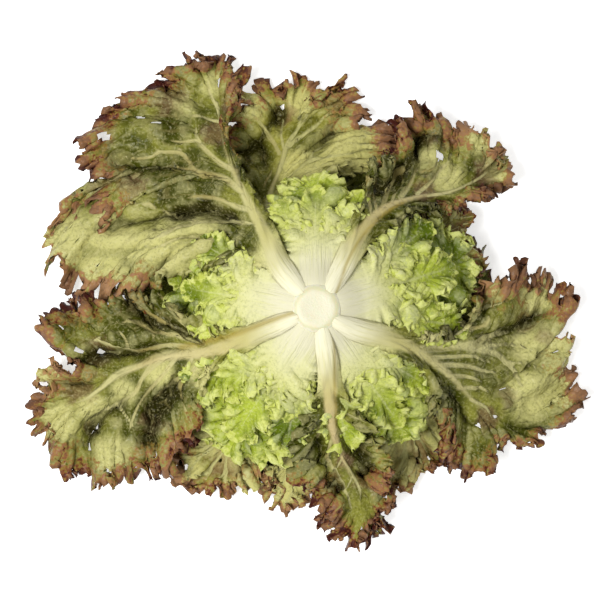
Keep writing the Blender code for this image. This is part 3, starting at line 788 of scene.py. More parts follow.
# %% Crinkles
Crinkle = namedtuple("Crinkle", "height across outwards wild")
CRINKLES = {
    "outer": Crinkle(0.9, 8.0, 22.0, 0.3),
    "inner": Crinkle(3.6, 6.5, 18.0, 0.5),
    "ruffle": Crinkle(2.8, 6.0, 14.0, 0.4),
    "second": Crinkle(1.8, 8.0, 20.0, 0.45),
    "deep": Crinkle(2.6, 7.0, 15.0, 0.5),
    "heart": Crinkle(1.2, 5.0, 10.0, 0.5),
}
CRINKLE_BEND, CRINKLE_BEND_SIZE = 0.8, 12.0
CREST_SLOPE, CREST_MIDDLE = 2.2, 0.4
SMALL_CRINKLE = 0.15
SMALL_SIZE, SMALLEST_SIZE = 4.2, 2.2
SIDE_SHARE, SIDE_SIZE = 0.45, 8.0


def add_crinkles(blade):
    """Puckers the sheet between rib and margin."""
    crinkle = CRINKLES[blade.leaf.ring]
    layer = blade.seed % 17
    bend = CRINKLE_BEND * blade.plan_noise(CRINKLE_BEND_SIZE, layer)
    across, outwards = blade.trip / crinkle.across + bend, blade.from_margin / crinkle.outwards + bend
    ruled = np.abs(noise(across, outwards, layer))
    anywhere = np.abs(blade.plan_noise(crinkle.across * 1.4, layer + 5))
    crest = 1 - CREST_SLOPE * ((1 - crinkle.wild) * ruled + crinkle.wild * anywhere)
    small = 1 - 2 * np.abs(blade.plan_noise(SMALL_SIZE, layer + 1))
    small = small + 0.5 * blade.plan_noise(SMALLEST_SIZE, layer + 2)
    _, outward, normal = blade.directions()
    move = crinkle.height * (crest - CREST_MIDDLE) + SMALL_CRINKLE * small
    blade.points = blade.points + normal * (move * blade.lively)[..., None]
    side = SIDE_SHARE * crinkle.height * blade.plan_noise(SIDE_SIZE, layer + 3) * blade.lively
    blade.points = blade.points + outward * side[..., None]


try_out(add_crinkles)

# %% [markdown]
# ## Patches of colour
# A real head is not one green all over. A patch could be painted by hand with a brush. These are
# kept as numbers instead, by their place in plan in millimetres from the stem and their size, so
# they stay soft and can be moved. Brown ones lie near the margin. Pale ones are painted light, where
# a leaf stands up into the light, and dark ones are painted shade, where a neighbour shades it.

# %% Patches
Patch = namedtuple("Patch", "x y size")
BROWN_PATCHES = {
    "outer_leaf_1": [Patch(-55, 94, 9), Patch(-80, 116, 15), Patch(-118, 74, 16), Patch(-100, 66, 10),
                     Patch(-44, 112, 10), Patch(-118, 94, 12)],
    "outer_leaf_2": [Patch(-133, 0, 14), Patch(-118, -26, 12), Patch(-88, -62, 10),
                     Patch(-130, -42, 14), Patch(-90, -76, 10), Patch(-100, 6, 10), Patch(-122, -66, 6)],
    "outer_leaf_3": [Patch(14, -82, 6), Patch(28, -92, 10), Patch(8, -96, 8)],
    "outer_leaf_4": [Patch(113, -7, 8), Patch(124, -16, 6), Patch(100, 10, 8),
                     Patch(104, -48, 7), Patch(92, -60, 9)],
    "outer_leaf_5": [Patch(58, 63, 8), Patch(60, 92, 9), Patch(50, 98, 12), Patch(92, 74, 11),
                     Patch(74, 92, 10)],
    "second_leaf_1": [Patch(-18, 106, 8), Patch(14, 114, 12), Patch(40, 90, 10), Patch(8, 96, 6)],
    "second_leaf_2": [Patch(-50, -84, 12), Patch(-41, -87, 8)],
    "second_leaf_4": [Patch(54, -80, 14), Patch(40, -98, 12)],
    "second_leaf_5": [Patch(62, 54, 14), Patch(80, 40, 12)],
}
# painted light: where a leaf stands up into the light it is painted paler
PALE_PATCHES = {
    "outer_leaf_1": [Patch(-112, 28, 28), Patch(-80, 32, 18), Patch(-138, 36, 22), Patch(-60, 40, 12),
                     Patch(-72, 108, 8), Patch(-56, 122, 8)],
    "outer_leaf_2": [Patch(-84, -34, 9), Patch(-104, -46, 9), Patch(-60, -36, 10), Patch(-122, -55, 10),
                     Patch(-140, -62, 13), Patch(-110, -80, 12), Patch(-148, -36, 12)],
    "outer_leaf_4": [Patch(116, -20, 11), Patch(116, -48, 16), Patch(118, 8, 10),
                     Patch(96, 10, 8), Patch(134, -22, 16), Patch(130, -44, 14), Patch(124, 2, 8)],
    "outer_leaf_5": [Patch(70, 70, 10), Patch(60, 78, 8), Patch(88, 92, 12), Patch(98, 76, 10)],
    "second_leaf_1": [Patch(18, 84, 20), Patch(-8, 74, 14), Patch(-38, 110, 10), Patch(-8, 112, 10)],
    "second_leaf_2": [Patch(-34, -96, 14), Patch(-62, -66, 14), Patch(-46, -74, 16),
                      Patch(-70, -88, 10)],
    "second_leaf_3": [Patch(-20, -84, 18), Patch(-14, -98, 16), Patch(-24, -66, 12)],
    "second_leaf_4": [Patch(40, -76, 16), Patch(46, -90, 12), Patch(70, -70, 12), Patch(56, -62, 12)],
    "second_leaf_5": [Patch(82, 14, 12), Patch(76, 24, 10)],
}
# painted shade: where a neighbouring leaf shades the sheet it is painted darker
DARK_PATCHES = {
    "outer_leaf_1": [Patch(-74, 69, 17), Patch(-60, 66, 12), Patch(-66, 82, 6), Patch(-78, 99, 11),
                     Patch(-48, 86, 6), Patch(-98, 76, 9), Patch(-38, 74, 7), Patch(-36, 103, 9),
                     Patch(-41, 92, 8)],
    "outer_leaf_2": [Patch(-86, -4, 14), Patch(-104, 4, 12), Patch(-84, -54, 12), Patch(-96, -14, 8),
                     Patch(-70, -44, 8), Patch(-92, -23, 8)],
    "outer_leaf_3": [Patch(20, -73, 11), Patch(-6, -74, 11), Patch(3, -78, 6)],
    "outer_leaf_4": [Patch(70, -50, 10), Patch(86, -6, 6)],
    "outer_leaf_5": [Patch(24, 66, 16), Patch(45, 71, 7), Patch(60, 74, 6)],
    "second_leaf_1": [Patch(-34, 84, 12), Patch(-28, 66, 8)],
    "second_leaf_4": [Patch(66, -44, 8), Patch(53, -50, 6)],
    "second_leaf_5": [Patch(52, 50, 12), Patch(48, 40, 8)],
}


def spread(blade, patches):
    """How much of a set of patches is at each point."""
    found = np.zeros(blade.share.shape)
    for patch in patches.get(blade.leaf.name, []):
        away = np.hypot(blade.start[..., 0] - patch.x, blade.start[..., 1] - patch.y)
        found = np.maximum(found, np.exp(-((away / patch.size) ** 2)))
    return found


for paint_name, table in (("brown", BROWN_PATCHES), ("pale", PALE_PATCHES), ("dark", DARK_PATCHES)):
    print(paint_name, "patches:", sum(len(rows) for rows in table.values()))

# %% [markdown]
# ## Veins and pockets
# On the underside the veins stand out and the tissue between them is pushed away, like
# quilting. They could be curves of their own, but a vein melts into its leaf, so it is raised in
# the sheet. The side veins of the big leaves are drawn one by one, with their width at the rib.

# %% Drawn veins
Vein = namedtuple("Vein", "width line")
DRAWN_VEINS = {
    "outer_leaf_1": [
        Vein(1.7, [(-43, 73), (-53, 79), (-60, 86), (-64, 91), (-65, 98), (-63, 106)]),
        Vein(1.2, [(-64, 91), (-73, 90), (-82, 92)]),
        Vein(1.1, [(-50, 100), (-57, 102), (-65, 104), (-76, 106)]),
        Vein(1.9, [(-41, 63), (-50, 70), (-60, 72), (-66, 75), (-69, 80), (-74, 84), (-85, 85),
                   (-91, 90), (-104, 95)]),
        Vein(1.2, [(-85, 85), (-90, 82), (-100, 82), (-114, 84)]),
        Vein(1.0, [(-74, 84), (-73, 90)]),
        Vein(1.0, [(-66, 75), (-74, 76), (-80, 80)]),
        Vein(1.7, [(-36, 52), (-46, 55), (-56, 59), (-66, 60), (-74, 57)]),
        Vein(1.3, [(-62, 46), (-76, 50), (-88, 55), (-94, 62), (-97, 70)]),
        Vein(1.1, [(-86, 54), (-98, 57), (-110, 60)]),
        Vein(1.2, [(-30, 44), (-45, 46), (-62, 46), (-76, 43), (-90, 42), (-112, 36)]),
        Vein(1.0, [(-48, 36), (-62, 37), (-74, 37), (-84, 33), (-100, 31), (-124, 32)]),
        Vein(1.0, [(-76, 43), (-84, 38), (-96, 36)]),
        Vein(1.2, [(-54, 111), (-52, 102)]),
        Vein(1.1, [(-53, 108), (-58, 118), (-60, 130)]),
    ],
    "outer_leaf_2": [
        Vein(1.4, [(-60, -19), (-74, -15), (-88, -12), (-97, -8), (-106, -6.5), (-120, -8)]),
        Vein(1.5, [(-64, -21), (-80, -20), (-95, -23), (-108, -21), (-120, -18), (-134, -18)]),
        Vein(1.0, [(-101, -22), (-103, -16), (-108, -10)]),
        Vein(0.9, [(-88, -12), (-87, -20)]),
        Vein(0.9, [(-120, -18), (-112, -10), (-106, -7)]),
        Vein(2.4, [(-68, -24), (-82, -25), (-95, -31), (-106, -35), (-116, -43), (-126, -50),
                   (-140, -54)]),
        Vein(1.4, [(-80, -26), (-92, -36), (-98, -46), (-108, -52), (-122, -60), (-132, -70)]),
        Vein(1.3, [(-74, -26), (-84, -38), (-94, -50), (-100, -62), (-104, -78)]),
        Vein(1.2, [(-66, -27), (-74, -38), (-84, -46), (-92, -56)]),
        Vein(1.2, [(-60, -27), (-68, -36), (-73, -42), (-69, -54), (-66, -66)]),
        Vein(1.0, [(-88, -29), (-94, -38), (-97, -44)]),
        Vein(1.0, [(-54, -26), (-60, -36), (-62, -46)]),
        Vein(1.1, [(-108, -52), (-102, -60), (-98, -68)]),
        Vein(1.0, [(-62, -17), (-72, -6), (-80, 2), (-88, 10)]),
        Vein(1.0, [(-66, -17), (-80, -8), (-92, 2), (-104, 8)]),
    ],
    "outer_leaf_3": [
        Vein(1.2, [(9, -70), (14, -80), (20, -90), (24, -100), (23, -110)]),
        Vein(1.2, [(9, -68), (6, -78), (10, -88), (16, -98), (19, -108), (20, -120)]),
        Vein(1.0, [(5, -56), (1, -66), (-5, -75)]),
        Vein(1.0, [(11, -58), (19, -64), (28, -70), (33, -78)]),
        Vein(0.9, [(12, -54), (20, -57), (28, -61)]),
        Vein(0.9, [(14, -80), (10, -88)]),
        Vein(0.8, [(20, -90), (16, -98)]),
    ],
    "outer_leaf_4": [
        Vein(1.7, [(48, -17), (62, -15.5), (74, -15), (79, -11), (82, -5), (92, 1), (104, 4), (118, 8)]),
        Vein(2.6, [(54, -21), (66, -21), (76, -20), (85, -19), (93, -15), (104, -13), (116, -13)]),
        Vein(2.3, [(76, -20), (86, -22), (95, -24), (103, -29), (108, -35), (112, -44), (114, -56)]),
        Vein(1.6, [(85, -20), (96, -20), (110, -20), (120, -24)]),
        Vein(1.4, [(60, -26), (74, -26), (84, -26), (92, -29), (102, -31)]),
        Vein(1.6, [(64, -30), (80, -31), (92, -34), (106, -36)]),
        Vein(1.4, [(70, -36), (82, -37), (92, -41)]),
        Vein(1.4, [(76, -43), (88, -43), (96, -47)]),
        Vein(1.3, [(72, -20), (77, -16)]),
        Vein(1.2, [(82, -12), (91, -8), (93, -2)]),
        Vein(1.2, [(103, -29), (114, -30), (126, -36)]),
        Vein(1.2, [(93, -15), (94, -20)]),
        Vein(1.2, [(83, -49), (92, -54), (96, -62)]),
    ],
    "outer_leaf_5": [
        Vein(1.5, [(35, 53), (38, 62), (42, 70), (47, 75), (53, 82)]),
        Vein(1.6, [(45, 59), (50, 66), (53, 73), (58, 80)]),
        Vein(1.2, [(54, 61), (62, 68), (70, 78), (76, 90)]),
        Vein(1.1, [(26, 46), (22, 55), (18, 66)]),
        Vein(1.1, [(29, 49), (28, 58), (28, 70), (26, 80)]),
        Vein(1.0, [(32, 51), (31, 62), (34, 74)]),
        Vein(1.2, [(60, 60), (74, 63), (88, 70), (98, 78)]),
        Vein(1.0, [(40, 56), (43, 63), (50, 66)]),
        Vein(0.9, [(56, 74), (64, 76), (68, 84)]),
    ],
    "second_leaf_1": [
        Vein(1.7, [(-27, 55), (-22, 68), (-18, 80), (-15, 90), (-10, 97), (-8, 108), (-7, 120)]),
        Vein(1.3, [(-30, 56), (-27, 68), (-21, 80)]),
        Vein(1.3, [(-20, 84), (-25, 94), (-32, 103), (-37, 112)]),
        Vein(1.4, [(-15, 88), (-5, 95), (5, 104), (14, 112)]),
        Vein(1.3, [(-22, 64), (-13, 72), (-4, 80), (2, 87), (14, 90)]),
        Vein(1.0, [(-4, 80), (10, 82), (28, 86), (44, 92)]),
        Vein(1.0, [(-17, 84), (-19, 96), (-18, 108)]),
        Vein(0.9, [(-10, 97), (-4, 106), (0, 116)]),
    ],
}
print("drawn veins:", sum(len(lines) for lines in DRAWN_VEINS.values()))

# %% [markdown]
# ## Side veins
# On the other leaves the veins run along the rows and fork on their way, which the grid gives for
# nothing. Both kinds answer two questions at each point: how far is the next vein, counted in
# its own widths, and how open is the ground.

# %% Side veins
Net = namedtuple("Net", "side_veins vein_height cell pocket_depth")
NETS = {
    "outer": Net(6, 1.8, 10.0, 2.0),
    "inner": Net(0, 0.3, 9.0, 1.2),
    "ruffle": Net(0, 0.2, 8.0, 0.6),
    "second": Net(6, 1.4, 9.5, 1.6),
    "deep": Net(6, 1.3, 9.0, 2.0),
    "heart": Net(4, 0.4, 6.0, 0.8),
}
VEIN_BANK = 4.5
VEIN_WIDTH, VEIN_TAPER = 0.86, 0.5
VEIN_FADE, VEIN_FADES = 1.3, (0.7, 1.0)
FAR_OFF = 5.0
FIRST_VEIN, VEIN_SPAN = 0.12, 0.88
FORK_AT = (0.25, 0.45)
FORK_SIZE = 0.65


def drawn_veins(blade):
    """How far each point is from a drawn vein, in vein widths, and how open the ground is, 0 to 1."""
    ratio, open_ground = np.full(blade.share.shape, FAR_OFF), np.ones(blade.share.shape)
    for drawn in DRAWN_VEINS[blade.leaf.name]:
        away, along = blade.distance_to(drawn.line)
        width = drawn.width * (VEIN_WIDTH - VEIN_TAPER * along)
        ratio = np.minimum(ratio, away / width + VEIN_FADE * ease(along, *VEIN_FADES))
        open_ground = np.minimum(open_ground, 1 - np.exp(-((away / VEIN_BANK) ** 2)))
    return ratio, open_ground


def side_veins(blade, rng):
    """The same two for veins that run along the rows and fork."""
    spacing = np.linalg.norm(np.gradient(blade.start, axis=0), axis=-1)
    spacing = spacing / (np.gradient(blade.progress, axis=0) + 1e-9)
    count = NETS[blade.leaf.ring].side_veins
    ratio, open_ground = np.full(blade.share.shape, FAR_OFF), np.ones(blade.share.shape)
    for side in (1, -1):
        on_side = blade.side == side
        for number in range(count):
            place = FIRST_VEIN + VEIN_SPAN * (number + 0.6 + rng.uniform(-0.2, 0.2)) / count
            forks = rng.uniform(*FORK_AT)
            wander = 0.25 / count * noise(blade.share * 4, number, 30 + side)
            for branch in (-1, 0, 1):
                opening = ease(blade.share, forks + 0.08 * branch, 1.2)
                middle = blade.progress - place - wander - branch * opening * 0.6 / count
                away = np.abs(middle) * spacing
                size = (1 - 0.75 * blade.share) * (FORK_SIZE if branch else 1.0)
                begun = ease(blade.share, forks - 0.05, forks + 0.1) if branch else 1.0
                here = away / ((0.5 + 1.0 * size) * (begun + 0.01))
                ratio = np.where(on_side, np.minimum(ratio, here), ratio)
                near = begun * np.exp(-((away / (VEIN_BANK - 1.5 * abs(branch))) ** 2))
                open_ground = np.minimum(open_ground, np.where(on_side, 1 - near, 1))
    return ratio, open_ground


print("the test leaf's nearest vein:", round(float(drawn_veins(trial)[0].min()), 2), "widths away")

# %% [markdown]
# ## The net of small veins
# Between the veins lies a finer net of closed cells. A Voronoi texture would paint it, but here
# the sheet is to bulge too, so the cells are worked out on the points: where the two nearest of many
# random seeds are equally far, there is a small vein.

# %% Vein net
NET_WARP = 1.5
NET_WARP_SIZE = 5


def vein_net(blade, rng):
    """A net of small veins, as the difference of the distances to the two nearest of many points."""
    cell = NETS[blade.leaf.ring].cell
    flat = blade.start.reshape(-1, 3)
    down_rows, across = np.gradient(blade.start, axis=0), np.gradient(blade.start, axis=1)
    area = np.linalg.norm(np.cross(down_rows, across), axis=-1)
    chance = area.ravel() / area.sum()
    seeds = flat[rng.choice(len(flat), int(area.sum() / cell**2), p=chance, replace=False)]
    x, y = flat[:, 0] / NET_WARP_SIZE, flat[:, 1] / NET_WARP_SIZE
    warp = NET_WARP * np.stack([noise(x, y, layer) for layer in (41, 42, 43)], axis=-1)
    distance = np.linalg.norm((flat + warp)[:, None, :] - seeds[None, :, :], axis=-1)
    nearest = np.partition(distance, 1, axis=1)[:, :2]
    return (nearest[:, 1] - nearest[:, 0]).reshape(blade.share.shape)


print("widest cell:", round(float(vein_net(trial, np.random.default_rng(1)).max()), 1), "mm")

# %% [markdown]
# ## Relief
# Now the veins are raised and the ground between them is sunk, along the sheet's own normal. How
# much of each is kept for the paint, so the veins and the painted shade in the pockets fall on the
# relief.

# %% Relief
THREAD_WIDTH = 1.3
THREAD_HEIGHT = 0.4
MARGIN_CALM, MARGIN_CALM_REACH = 0.7, 6.0
PALE_SMOOTHER = 0.4


def add_relief(blade, rng):
    """Raises the veins, sinks the pockets, and keeps how much of each for the paint."""
    net = NETS[blade.leaf.ring]
    drawn = blade.leaf.name in DRAWN_VEINS
    ratio, open_ground = drawn_veins(blade) if drawn else side_veins(blade, rng)
    gap = vein_net(blade, rng)
    veins, threads = np.exp(-(ratio**2)), np.exp(-((gap / THREAD_WIDTH) ** 2))
    inside = 1 - MARGIN_CALM * np.exp(-blade.from_margin / MARGIN_CALM_REACH)
    pockets = ease(gap, 0.5, 0.7 * net.cell) * (0.7 + 0.3 * blade.plan_noise(14.0, 3))
    pockets = pockets * (1 - PALE_SMOOTHER * spread(blade, PALE_PATCHES))
    sunk = net.pocket_depth * inside * (open_ground + 0.6 * pockets)
    _, _, normal = blade.directions()
    relief = (net.vein_height * np.maximum(veins, THREAD_HEIGHT * threads) - sunk) * blade.lively
    blade.points = blade.points + normal * relief[..., None]
    calm = 1 - ease(blade.radius, *CALM[blade.leaf.ring])
    blade.paints["vein_away"] = np.clip(ratio, 0, FAR_OFF) + FAR_OFF * calm
    blade.paints["net_gap"] = np.clip(gap, 0, FAR_OFF) + FAR_OFF * (1 - blade.lively)
    # painted shade: the sunk ground and pockets between the veins, which a coat paints dark
    blade.paints["pocket"] = np.clip(0.35 * open_ground + 0.75 * pockets, 0, 1) * blade.lively


try_out(add_relief, np.random.default_rng(1))

# %% [markdown]
# ## Crests and hollows
# A leaf is palest where it stands up into the light and darkest where it sinks. Blender's Pointiness
# would show this, but only to one render engine and not to an export. So each point's height is
# set against the mean of its surroundings, once close by and once further out, and kept on the mesh.

# %% Crests and hollows
CREST_REACH, HOLLOW_REACH = 2.5, 9.0
CREST_HEIGHT, HOLLOW_DEPTH = 0.9, 6.0


def blur(values, reaches):
    """The mean of each value's neighbours, up to reaches rows and columns away."""
    for axis, reach in enumerate(reaches):
        widths = [(0, 0), (0, 0)]
        widths[axis] = (reach + 1, reach)
        total = np.cumsum(np.pad(values, widths, mode="edge"), axis=axis)
        count = values.shape[axis]
        upper = np.take(total, np.arange(2 * reach + 1, 2 * reach + 1 + count), axis=axis)
        values = (upper - np.take(total, np.arange(count), axis=axis)) / (2 * reach + 1)
    return values


def note_heights(blade):
    """Keeps how far each point stands above or below its surroundings."""
    height = blade.points[..., 2]
    steps = [np.linalg.norm(np.gradient(blade.points, axis=axis), axis=-1).mean() for axis in (0, 1)]
    near = blur(height, [max(1, round(CREST_REACH / step)) for step in steps])
    far = blur(height, [max(1, round(HOLLOW_REACH / step)) for step in steps])
    # painted highlight and shade: the coats paint high crests pale and low places and hollows dark
    blade.paints["crest"] = np.clip(0.5 + (height - near) / (2 * CREST_HEIGHT), 0, 1)
    blade.paints["hollow"] = np.clip((far - height) / HOLLOW_DEPTH, 0, 1)


note_heights(trial)
print("deepest hollow of the test leaf:", round(float(trial.paints["hollow"].max()), 2))

# %% [markdown]
# ## Blush, rib streaks and shadows, and holes
# Some ribs blush pink on their way out, and beside some a thin brown-green line is painted from the
# stem: beside outer_leaf_3's rib it is the rib's painted shadow, beside outer_leaf_2's partly streak
# and partly painted shadow. Near the margins there are small tears. A hole could be cut with a Boolean,
# but the sheet is thin and its grid fine, so deleting a few points before it is given its wall makes a
# cleaner, ragged one.

# %% Blush, rib streaks and shadows, and holes
BLUSH = {"outer_leaf_2": 0.15, "outer_leaf_3": 0.35, "outer_leaf_4": 0.05, "outer_leaf_5": 0.25}
RIB_STREAKS_AND_SHADOWS = {
    # beside outer_leaf_3's rib the line is its painted shadow, beside outer_leaf_2's it is partly painted
    # shadow
    "outer_leaf_2": Vein(1.7, [(-15, -3), (-28, -8), (-44, -14), (-60, -18.5), (-72, -21)]),
    "outer_leaf_3": Vein(0.8, [(9.5, -16), (9.5, -40), (10.5, -62)]),
    "outer_leaf_5": Vein(0.9, [(12, 9), (16, 24), (25, 39), (36, 50), (46, 56)]),
}
Hole = namedtuple("Hole", "x y size")
HOLES = {
    "outer_leaf_1": [Hole(-95, 103, 1.7), Hole(-88, 100, 1.2), Hole(-107, 69, 1.1), Hole(-110, 51, 1.8),
                     Hole(-52, 121, 1.7), Hole(-116, 92, 1.0)],
    "outer_leaf_2": [Hole(-127, 4, 2.0), Hole(-137, -12, 1.1), Hole(-118, -65, 1.1),
                     Hole(-122, -68, 0.9), Hole(-146, -65, 1.0), Hole(-86, -80, 1.4),
                     Hole(-123, -76, 0.9), Hole(-129, -23, 0.9), Hole(-117, -23, 0.8),
                     Hole(-137, -29, 1.2), Hole(-112, -89, 1.0)],
    "outer_leaf_3": [Hole(26, -121, 1.4), Hole(33, -101, 1.7), Hole(13, -107, 1.2)],
    "outer_leaf_4": [Hole(100, -44, 0.8), Hole(97, -59, 0.9), Hole(88, -63, 1.0), Hole(134, 3, 0.9),
                     Hole(121, 12, 0.9), Hole(130, -24, 0.8)],
    "outer_leaf_5": [Hole(67, 82, 2.1), Hole(72, 51, 1.2)],
    "second_leaf_1": [Hole(-18, 109, 0.8), Hole(3, 120, 1.2)],
    "second_leaf_2": [Hole(-72, -88, 0.8), Hole(-52, -83, 0.7)],
    "second_leaf_4": [Hole(54, -81, 0.9), Hole(62, -82, 0.7), Hole(88, -80, 0.9)],
    "second_leaf_5": [Hole(54, 50, 1.4), Hole(64, 55, 1.2)],
}
BLUSH_FROM = (25, 60)
HOLE_RAGGED, HOLE_RAG_SIZE = 0.4, 2.5
print("holes:", sum(len(rows) for rows in HOLES.values()))


# %% [markdown]
# ## From arrays to a mesh
# So far a leaf is only arrays of numbers. Its points could be pushed about in edit mode, but a curly
# leaf has tens of thousands. So Blender's own grid gives the faces, and its points go where the
# arrays say. Decimate then thins out the plain parts, and Solidify gives the sheet its thickness:
# half a millimetre in the blade, several in the rib.

# %% Sheet to mesh
BLADE_THICKNESS = 0.5
LOWEST_POINT = 0.5
SOFT_LANDING = 2.5
THICKEST = 7.0
RIB_FILLING = 1.2
SEAM = 1e-5
EDGE_PAINT_WIDTH = 28.0
EDGE_PAINT_SHARE = 0.5
EDGE_PAINT_LEAST = 4.0
EDGE_PAINT_BEGINS = {"inner": (30, 50), "ruffle": (28, 44)}
EDGE_PAINT_USUAL = (68, 98)
RIB_PAINT = 1.8
HEAD_RADIUS = 160.0


def deselect_all():
    for thing in bpy.context.selected_objects:
        thing.select_set(False)


def note_paints(blade):
    """Keeps where the paints of the margin, the rib, the patches and the rib streak and shadow lie."""
    edge_width = np.minimum(EDGE_PAINT_WIDTH, EDGE_PAINT_SHARE * blade.width + EDGE_PAINT_LEAST)
    begun = ease(blade.radius, *EDGE_PAINT_BEGINS.get(blade.leaf.ring, EDGE_PAINT_USUAL))
    blade.paints["edge"] = np.clip(1 - blade.from_margin / edge_width, 0, 1) * begun
    blade.paints["rib"] = np.clip(blade.rib * RIB_PAINT, 0, 1)
    blade.paints["reach"] = blade.radius / HEAD_RADIUS
    blade.paints["across"] = blade.sideways
    blade.paints["brown"] = spread(blade, BROWN_PATCHES)
    # painted light and shade: pale patches are painted lighter, dim ones darker
    blade.paints["pale"] = spread(blade, PALE_PATCHES)
    blade.paints["dim"] = spread(blade, DARK_PATCHES)
    blade.paints["blush"] = BLUSH.get(blade.leaf.name, 0.0) * ease(blade.radius, *BLUSH_FROM)
    if blade.leaf.name in RIB_STREAKS_AND_SHADOWS:
        away, _ = blade.distance_to(RIB_STREAKS_AND_SHADOWS[blade.leaf.name].line)
        blade.paints["streak"] = np.exp(-((away / RIB_STREAKS_AND_SHADOWS[blade.leaf.name].width) ** 2))


def lay_out(blade, name):
    """A grid mesh of the blade, with its thickness as a vertex group and its paint as attributes."""
    rows, columns = blade.share.shape
    deselect_all()
    bpy.ops.mesh.primitive_grid_add(x_subdivisions=columns - 1, y_subdivisions=rows - 1, size=1)
    sheet = bpy.context.object
    sheet.name = name
    points = blade.points.copy()
    above = (points[..., 2] - LOWEST_POINT) / SOFT_LANDING
    points[..., 2] = LOWEST_POINT + SOFT_LANDING * np.logaddexp(0, above)
    sheet.data.vertices.foreach_set("co", (points * MM).astype(np.float32).ravel())
    for label, values in blade.paints.items():
        layer = sheet.data.attributes.new(label, "FLOAT", "POINT")
        layer.data.foreach_set("value", np.ascontiguousarray(values, np.float32).ravel())
    thickness = BLADE_THICKNESS + RIB_FILLING * blade.bulge
    group = sheet.vertex_groups.new(name="thickness")
    for index, weight in enumerate(np.clip(thickness / THICKEST, 0, 1).ravel().tolist()):
        group.add([index], weight, "REPLACE")
    return sheet


def tear_holes(blade, sheet):
    """Deletes the points of the sheet in each small hole."""
    torn = np.zeros(blade.share.shape, bool)
    for hole in HOLES.get(blade.leaf.name, []):
        away = np.hypot(blade.start[..., 0] - hole.x, blade.start[..., 1] - hole.y)
        torn |= away * (1 + HOLE_RAGGED * blade.plan_noise(HOLE_RAG_SIZE, 21)) < hole.size
    sheet.data.polygons.foreach_set("select", np.zeros(len(sheet.data.polygons), bool))
    sheet.data.edges.foreach_set("select", np.zeros(len(sheet.data.edges), bool))
    sheet.data.vertices.foreach_set("select", torn.ravel())
    bpy.ops.object.mode_set(mode="EDIT")
    bpy.ops.mesh.select_mode(type="VERT")
    if torn.any():
        bpy.ops.mesh.delete(type="VERT")
    bpy.ops.object.mode_set(mode="OBJECT")


def thicken(sheet, kept_share):
    """Joins the seam at the tip, thins out the points where the sheet is plain, and gives it a wall."""
    deselect_all()
    sheet.select_set(True)
    bpy.context.view_layer.objects.active = sheet
    bpy.ops.object.mode_set(mode="EDIT")
    bpy.ops.mesh.select_all(action="SELECT")
    bpy.ops.mesh.remove_doubles(threshold=SEAM)
    bpy.ops.object.mode_set(mode="OBJECT")
    if kept_share < 1:
        fewer = sheet.modifiers.new("fewer", "DECIMATE")
        fewer.ratio = kept_share
        bpy.ops.object.modifier_apply(modifier=fewer.name)
    wall = sheet.modifiers.new("wall", "SOLIDIFY")
    wall.thickness = THICKEST * MM
    wall.vertex_group = "thickness"
    wall.offset = -1.0
    wall.use_rim = True
    bpy.ops.object.modifier_apply(modifier=wall.name)
    bpy.ops.object.shade_smooth()
    sheet.vertex_groups.clear()


print("wall:", BLADE_THICKNESS, "mm in the blade, up to", THICKEST, "mm in the rib")

# %% [markdown]
# ## Shader nodes in short
# A material is a tree of nodes. It could be wired by hand in the shader editor. In a script each
# node takes three or four lines, so the kinds used below get a short name.

# %% Shader nodes in short
def feed(tree, socket, value):
    """Links a socket to a socket, or sets a plain value."""
    if isinstance(value, bpy.types.NodeSocket):
        tree.links.new(value, socket)
    else:
        socket.default_value = value


def add_mix(tree, factor, first, second):
    """A blend of two colours."""
    node = tree.nodes.new("ShaderNodeMix")
    node.data_type = "RGBA"
    node.clamp_factor = True
    for socket, value in ((node.inputs[0], factor), (node.inputs[6], first), (node.inputs[7], second)):
        feed(tree, socket, value)
    return node.outputs[2]


def add_math(tree, kind, first, second):
    """One sum, product or other piece of arithmetic."""
    node = tree.nodes.new("ShaderNodeMath")
    node.operation = kind
    feed(tree, node.inputs[0], first)
    feed(tree, node.inputs[1], second)
    return node.outputs[0]


def add_share(tree, value, share):
    """A smaller part of a value."""
    return add_math(tree, "MULTIPLY", value, share)


def add_step(tree, value, low, high):
    """0 where value is under low, 1 over high, smooth between. High under low turns it round."""
    node = tree.nodes.new("ShaderNodeMapRange")
    node.interpolation_type = "SMOOTHSTEP"
    feed(tree, node.inputs["Value"], value)
    node.inputs["From Min"].default_value = min(low, high)
    node.inputs["From Max"].default_value = max(low, high)
    if high < low:
        node.inputs["To Min"].default_value, node.inputs["To Max"].default_value = 1.0, 0.0
    return node.outputs["Result"]


def add_noise(tree, scale, detail=3.0, roughness=0.6):
    """Blender's cloudy noise over the object's own coordinates, scale times a metre."""
    node = tree.nodes.new("ShaderNodeTexNoise")
    node.inputs["Scale"].default_value = scale
    node.inputs["Detail"].default_value = detail
    node.inputs["Roughness"].default_value = roughness
    tree.links.new(tree.nodes["places"].outputs["Object"], node.inputs["Vector"])
    return node.outputs["Fac"]


def read(tree, name):
    """A paint that was kept on the mesh."""
    node = tree.nodes.new("ShaderNodeAttribute")
    node.attribute_name = name
    return node.outputs["Fac"]


def add_coat(tree, under, value, low, high, share, over):
    """A coat of paint over another, thickest where the value is over high."""
    return add_mix(tree, add_share(tree, add_step(tree, value, low, high), share), under, over)


def add_bump(tree, shader, height, strength, distance):
    """Relief that is too fine for the mesh. The distance is in metres."""
    bump = tree.nodes.new("ShaderNodeBump")
    bump.inputs["Strength"].default_value = strength
    bump.inputs["Distance"].default_value = distance
    tree.links.new(height, bump.inputs["Height"])
    tree.links.new(bump.outputs["Normal"], shader.inputs["Normal"])


def start_skin(name):
    """A material with an empty Principled shader and a Texture Coordinate node."""
    made = bpy.data.materials.new(name)
    made.use_nodes = True
    made.node_tree.nodes.new("ShaderNodeTexCoord").name = "places"
    return made, made.node_tree, made.node_tree.nodes["Principled BSDF"]


print("a smooth step in the shader is the same curve as ease:", float(ease(0.3, 0.0, 1.0)))
